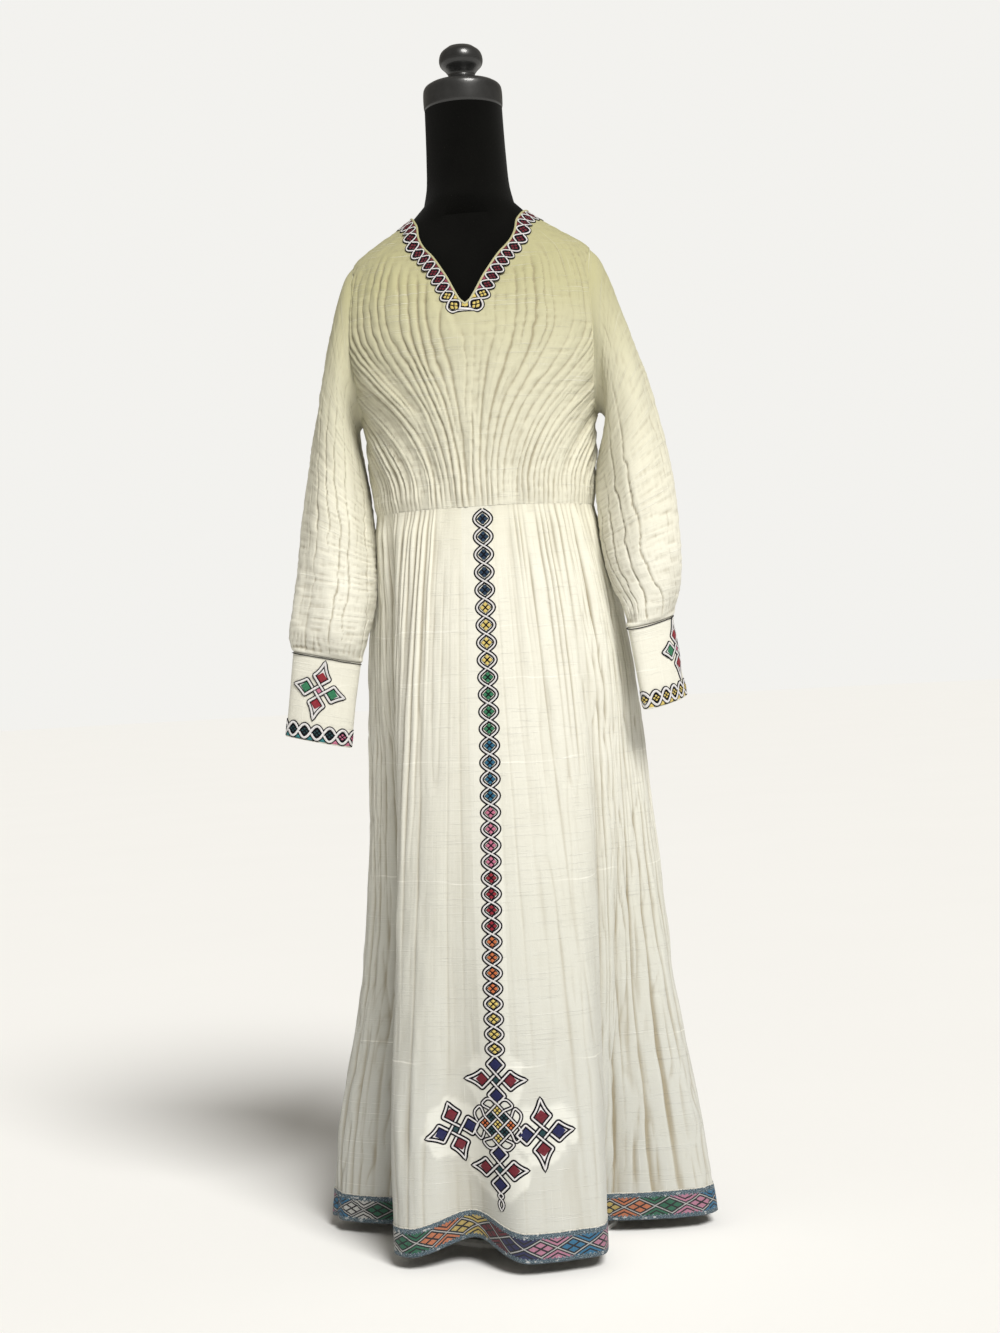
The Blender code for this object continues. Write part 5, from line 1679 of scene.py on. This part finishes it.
def add_lights():
    """Soft studio light: a wide key from above the viewer's right, and a pale room, which
    looks brighter to the camera than the light it gives."""
    data = bpy.data.lights.new("key", "SUN")
    data.angle = math.radians(KEY_SPREAD)
    data.energy = KEY_POWER
    data.color = KEY_COLOUR
    light = bpy.data.objects.new("key", data)
    bpy.context.scene.collection.objects.link(light)
    turn, rise = math.radians(KEY_AZIMUTH), math.radians(KEY_ELEVATION)
    level = math.cos(rise)
    towards = Vector((math.sin(turn) * level, -math.cos(turn) * level, math.sin(rise)))
    light.location = towards * 4
    light.rotation_euler = towards.to_track_quat("Z", "Y").to_euler()
    world = bpy.data.worlds.new("pale_room")
    world.use_nodes = True
    wiring = Wiring(world.node_tree)
    seen = wiring.node("ShaderNodeLightPath").outputs["Is Camera Ray"]
    strength = wiring.maths("MULTIPLY_ADD", seen, ROOM_SEEN - ROOM_LIGHT, ROOM_LIGHT)
    back = world.node_tree.nodes["Background"]
    wiring.set(back.inputs["Color"], wiring.mix(seen, ROOM_LIGHT_COLOUR, ROOM_SEEN_COLOUR))
    wiring.set(back.inputs["Strength"], strength)
    bpy.context.scene.world = world
    bpy.context.scene.view_settings.view_transform = "Standard"


def add_floor():
    mesh = bpy.data.meshes.new("floor")
    turn = np.linspace(0, math.tau, 64, endpoint=False)
    rim = [(FLOOR_RADIUS * math.cos(a), FLOOR_RADIUS * math.sin(a), FLOOR_TOP) for a in turn]
    mesh.from_pydata(rim, [], [list(range(64))])
    mesh.materials.append(floor_material())
    floor = bpy.data.objects.new("floor", mesh)
    bpy.context.scene.collection.objects.link(floor)


set_camera()
add_lights()
add_floor()

groups = {"hand_woven": hand_woven_group(), "satin_stitches": stitches_group()}
cotton = cotton_material("cream_cotton", groups)
thread = thread_material("black_thread", groups, (0.010, 0.010, 0.015), (0.003, 0.003, 0.005),
                         0.75, sheen=0.0, gloss=0.12)
silver = thread_material("silver_ribbon", groups, (0.86, 0.85, 0.84), (0.58, 0.56, 0.58), 0.42)
sewing = {"outline": thread, "ribbon": silver}
satins = [
    thread_material("satin_" + name, groups, *THREADS[name], sheen=0.05, gloss=0.28)
    for name in THREADS
]
woven = hem_band_material(groups)
jersey = jersey_material()
lacquer = hard_material("black_lacquer", (0.010, 0.010, 0.010), 0.32, 0.0, 0.3)
steel = hard_material("pale_painted_steel", (0.60, 0.60, 0.585), 0.55, 0.0)

form_pieces = make_form(jersey, lacquer)
for node in ("stand_pole", "stand_base"):
    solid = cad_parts[node]
    solid.data.materials.clear()
    solid.data.materials.append(steel)

bodice_front = bodice_panel("bodice_front_cloth", "bodice_front", FRONT_ROWS, 150, 190, cotton)
bodice_back = bodice_panel("bodice_back_cloth", "bodice_back", BACK_ROWS, 130, 110, cotton)
neckline = Neckline()
neck_pieces = make_neck_trim(neckline, sewing, satins, cotton)

panels = {}
for name, start, end, rows, columns in (
    ("skirt_front", -62.0, 60.0, 215, 370), ("skirt_left_side", 60.0, 122.0, 170, 190),
    ("skirt_back", 122.0, 238.0, 160, 260), ("skirt_right_side", 238.0, 298.0, 170, 190),
):
    panels[name] = skirt_panel(name + "_cloth", name, start, end, rows, columns, cotton)
mark_backing(panels["skirt_front"])
skirt_sewing = sew_skirt_front(sewing, satins)
hem_band = make_hem_band(woven)

sleeve_right, right_length = make_sleeve(
    "sleeve_right_cloth", "sleeve_right", RIGHT_SLEEVE, -1, 80, cotton)
sleeve_left, left_length = make_sleeve(
    "sleeve_left_cloth", "sleeve_left", LEFT_SLEEVE, 1, 95, cotton)
cuffs = {
    "right": Cuff(RIGHT_SLEEVE[-1], RIGHT_CUFF_END, -1),
    "left": Cuff(LEFT_SLEEVE[-1], LEFT_CUFF_END, 1),
}
for side, cuff in cuffs.items():
    make_cuff(f"cuff_{side}_cloth", f"cuff_{side}", cuff, cotton)

teal, sea, pink, yellow = (colour_index(name) for name in ("teal", "sea", "pink", "yellow"))


def right_cell(across):
    return pink if across > 0.034 else teal


def right_tooth(across):
    return pink if across > 0.024 else sea


def left_edge(across):
    return yellow


right_sewing = sew_cuff("cuff_right_sewing", cuffs["right"], sewing, satins,
                        (right_cell, right_tooth), -0.003, -7.0)
left_sewing = sew_cuff("cuff_left_sewing", cuffs["left"], sewing, satins,
                       (left_edge, left_edge), 0.026, -3.0)
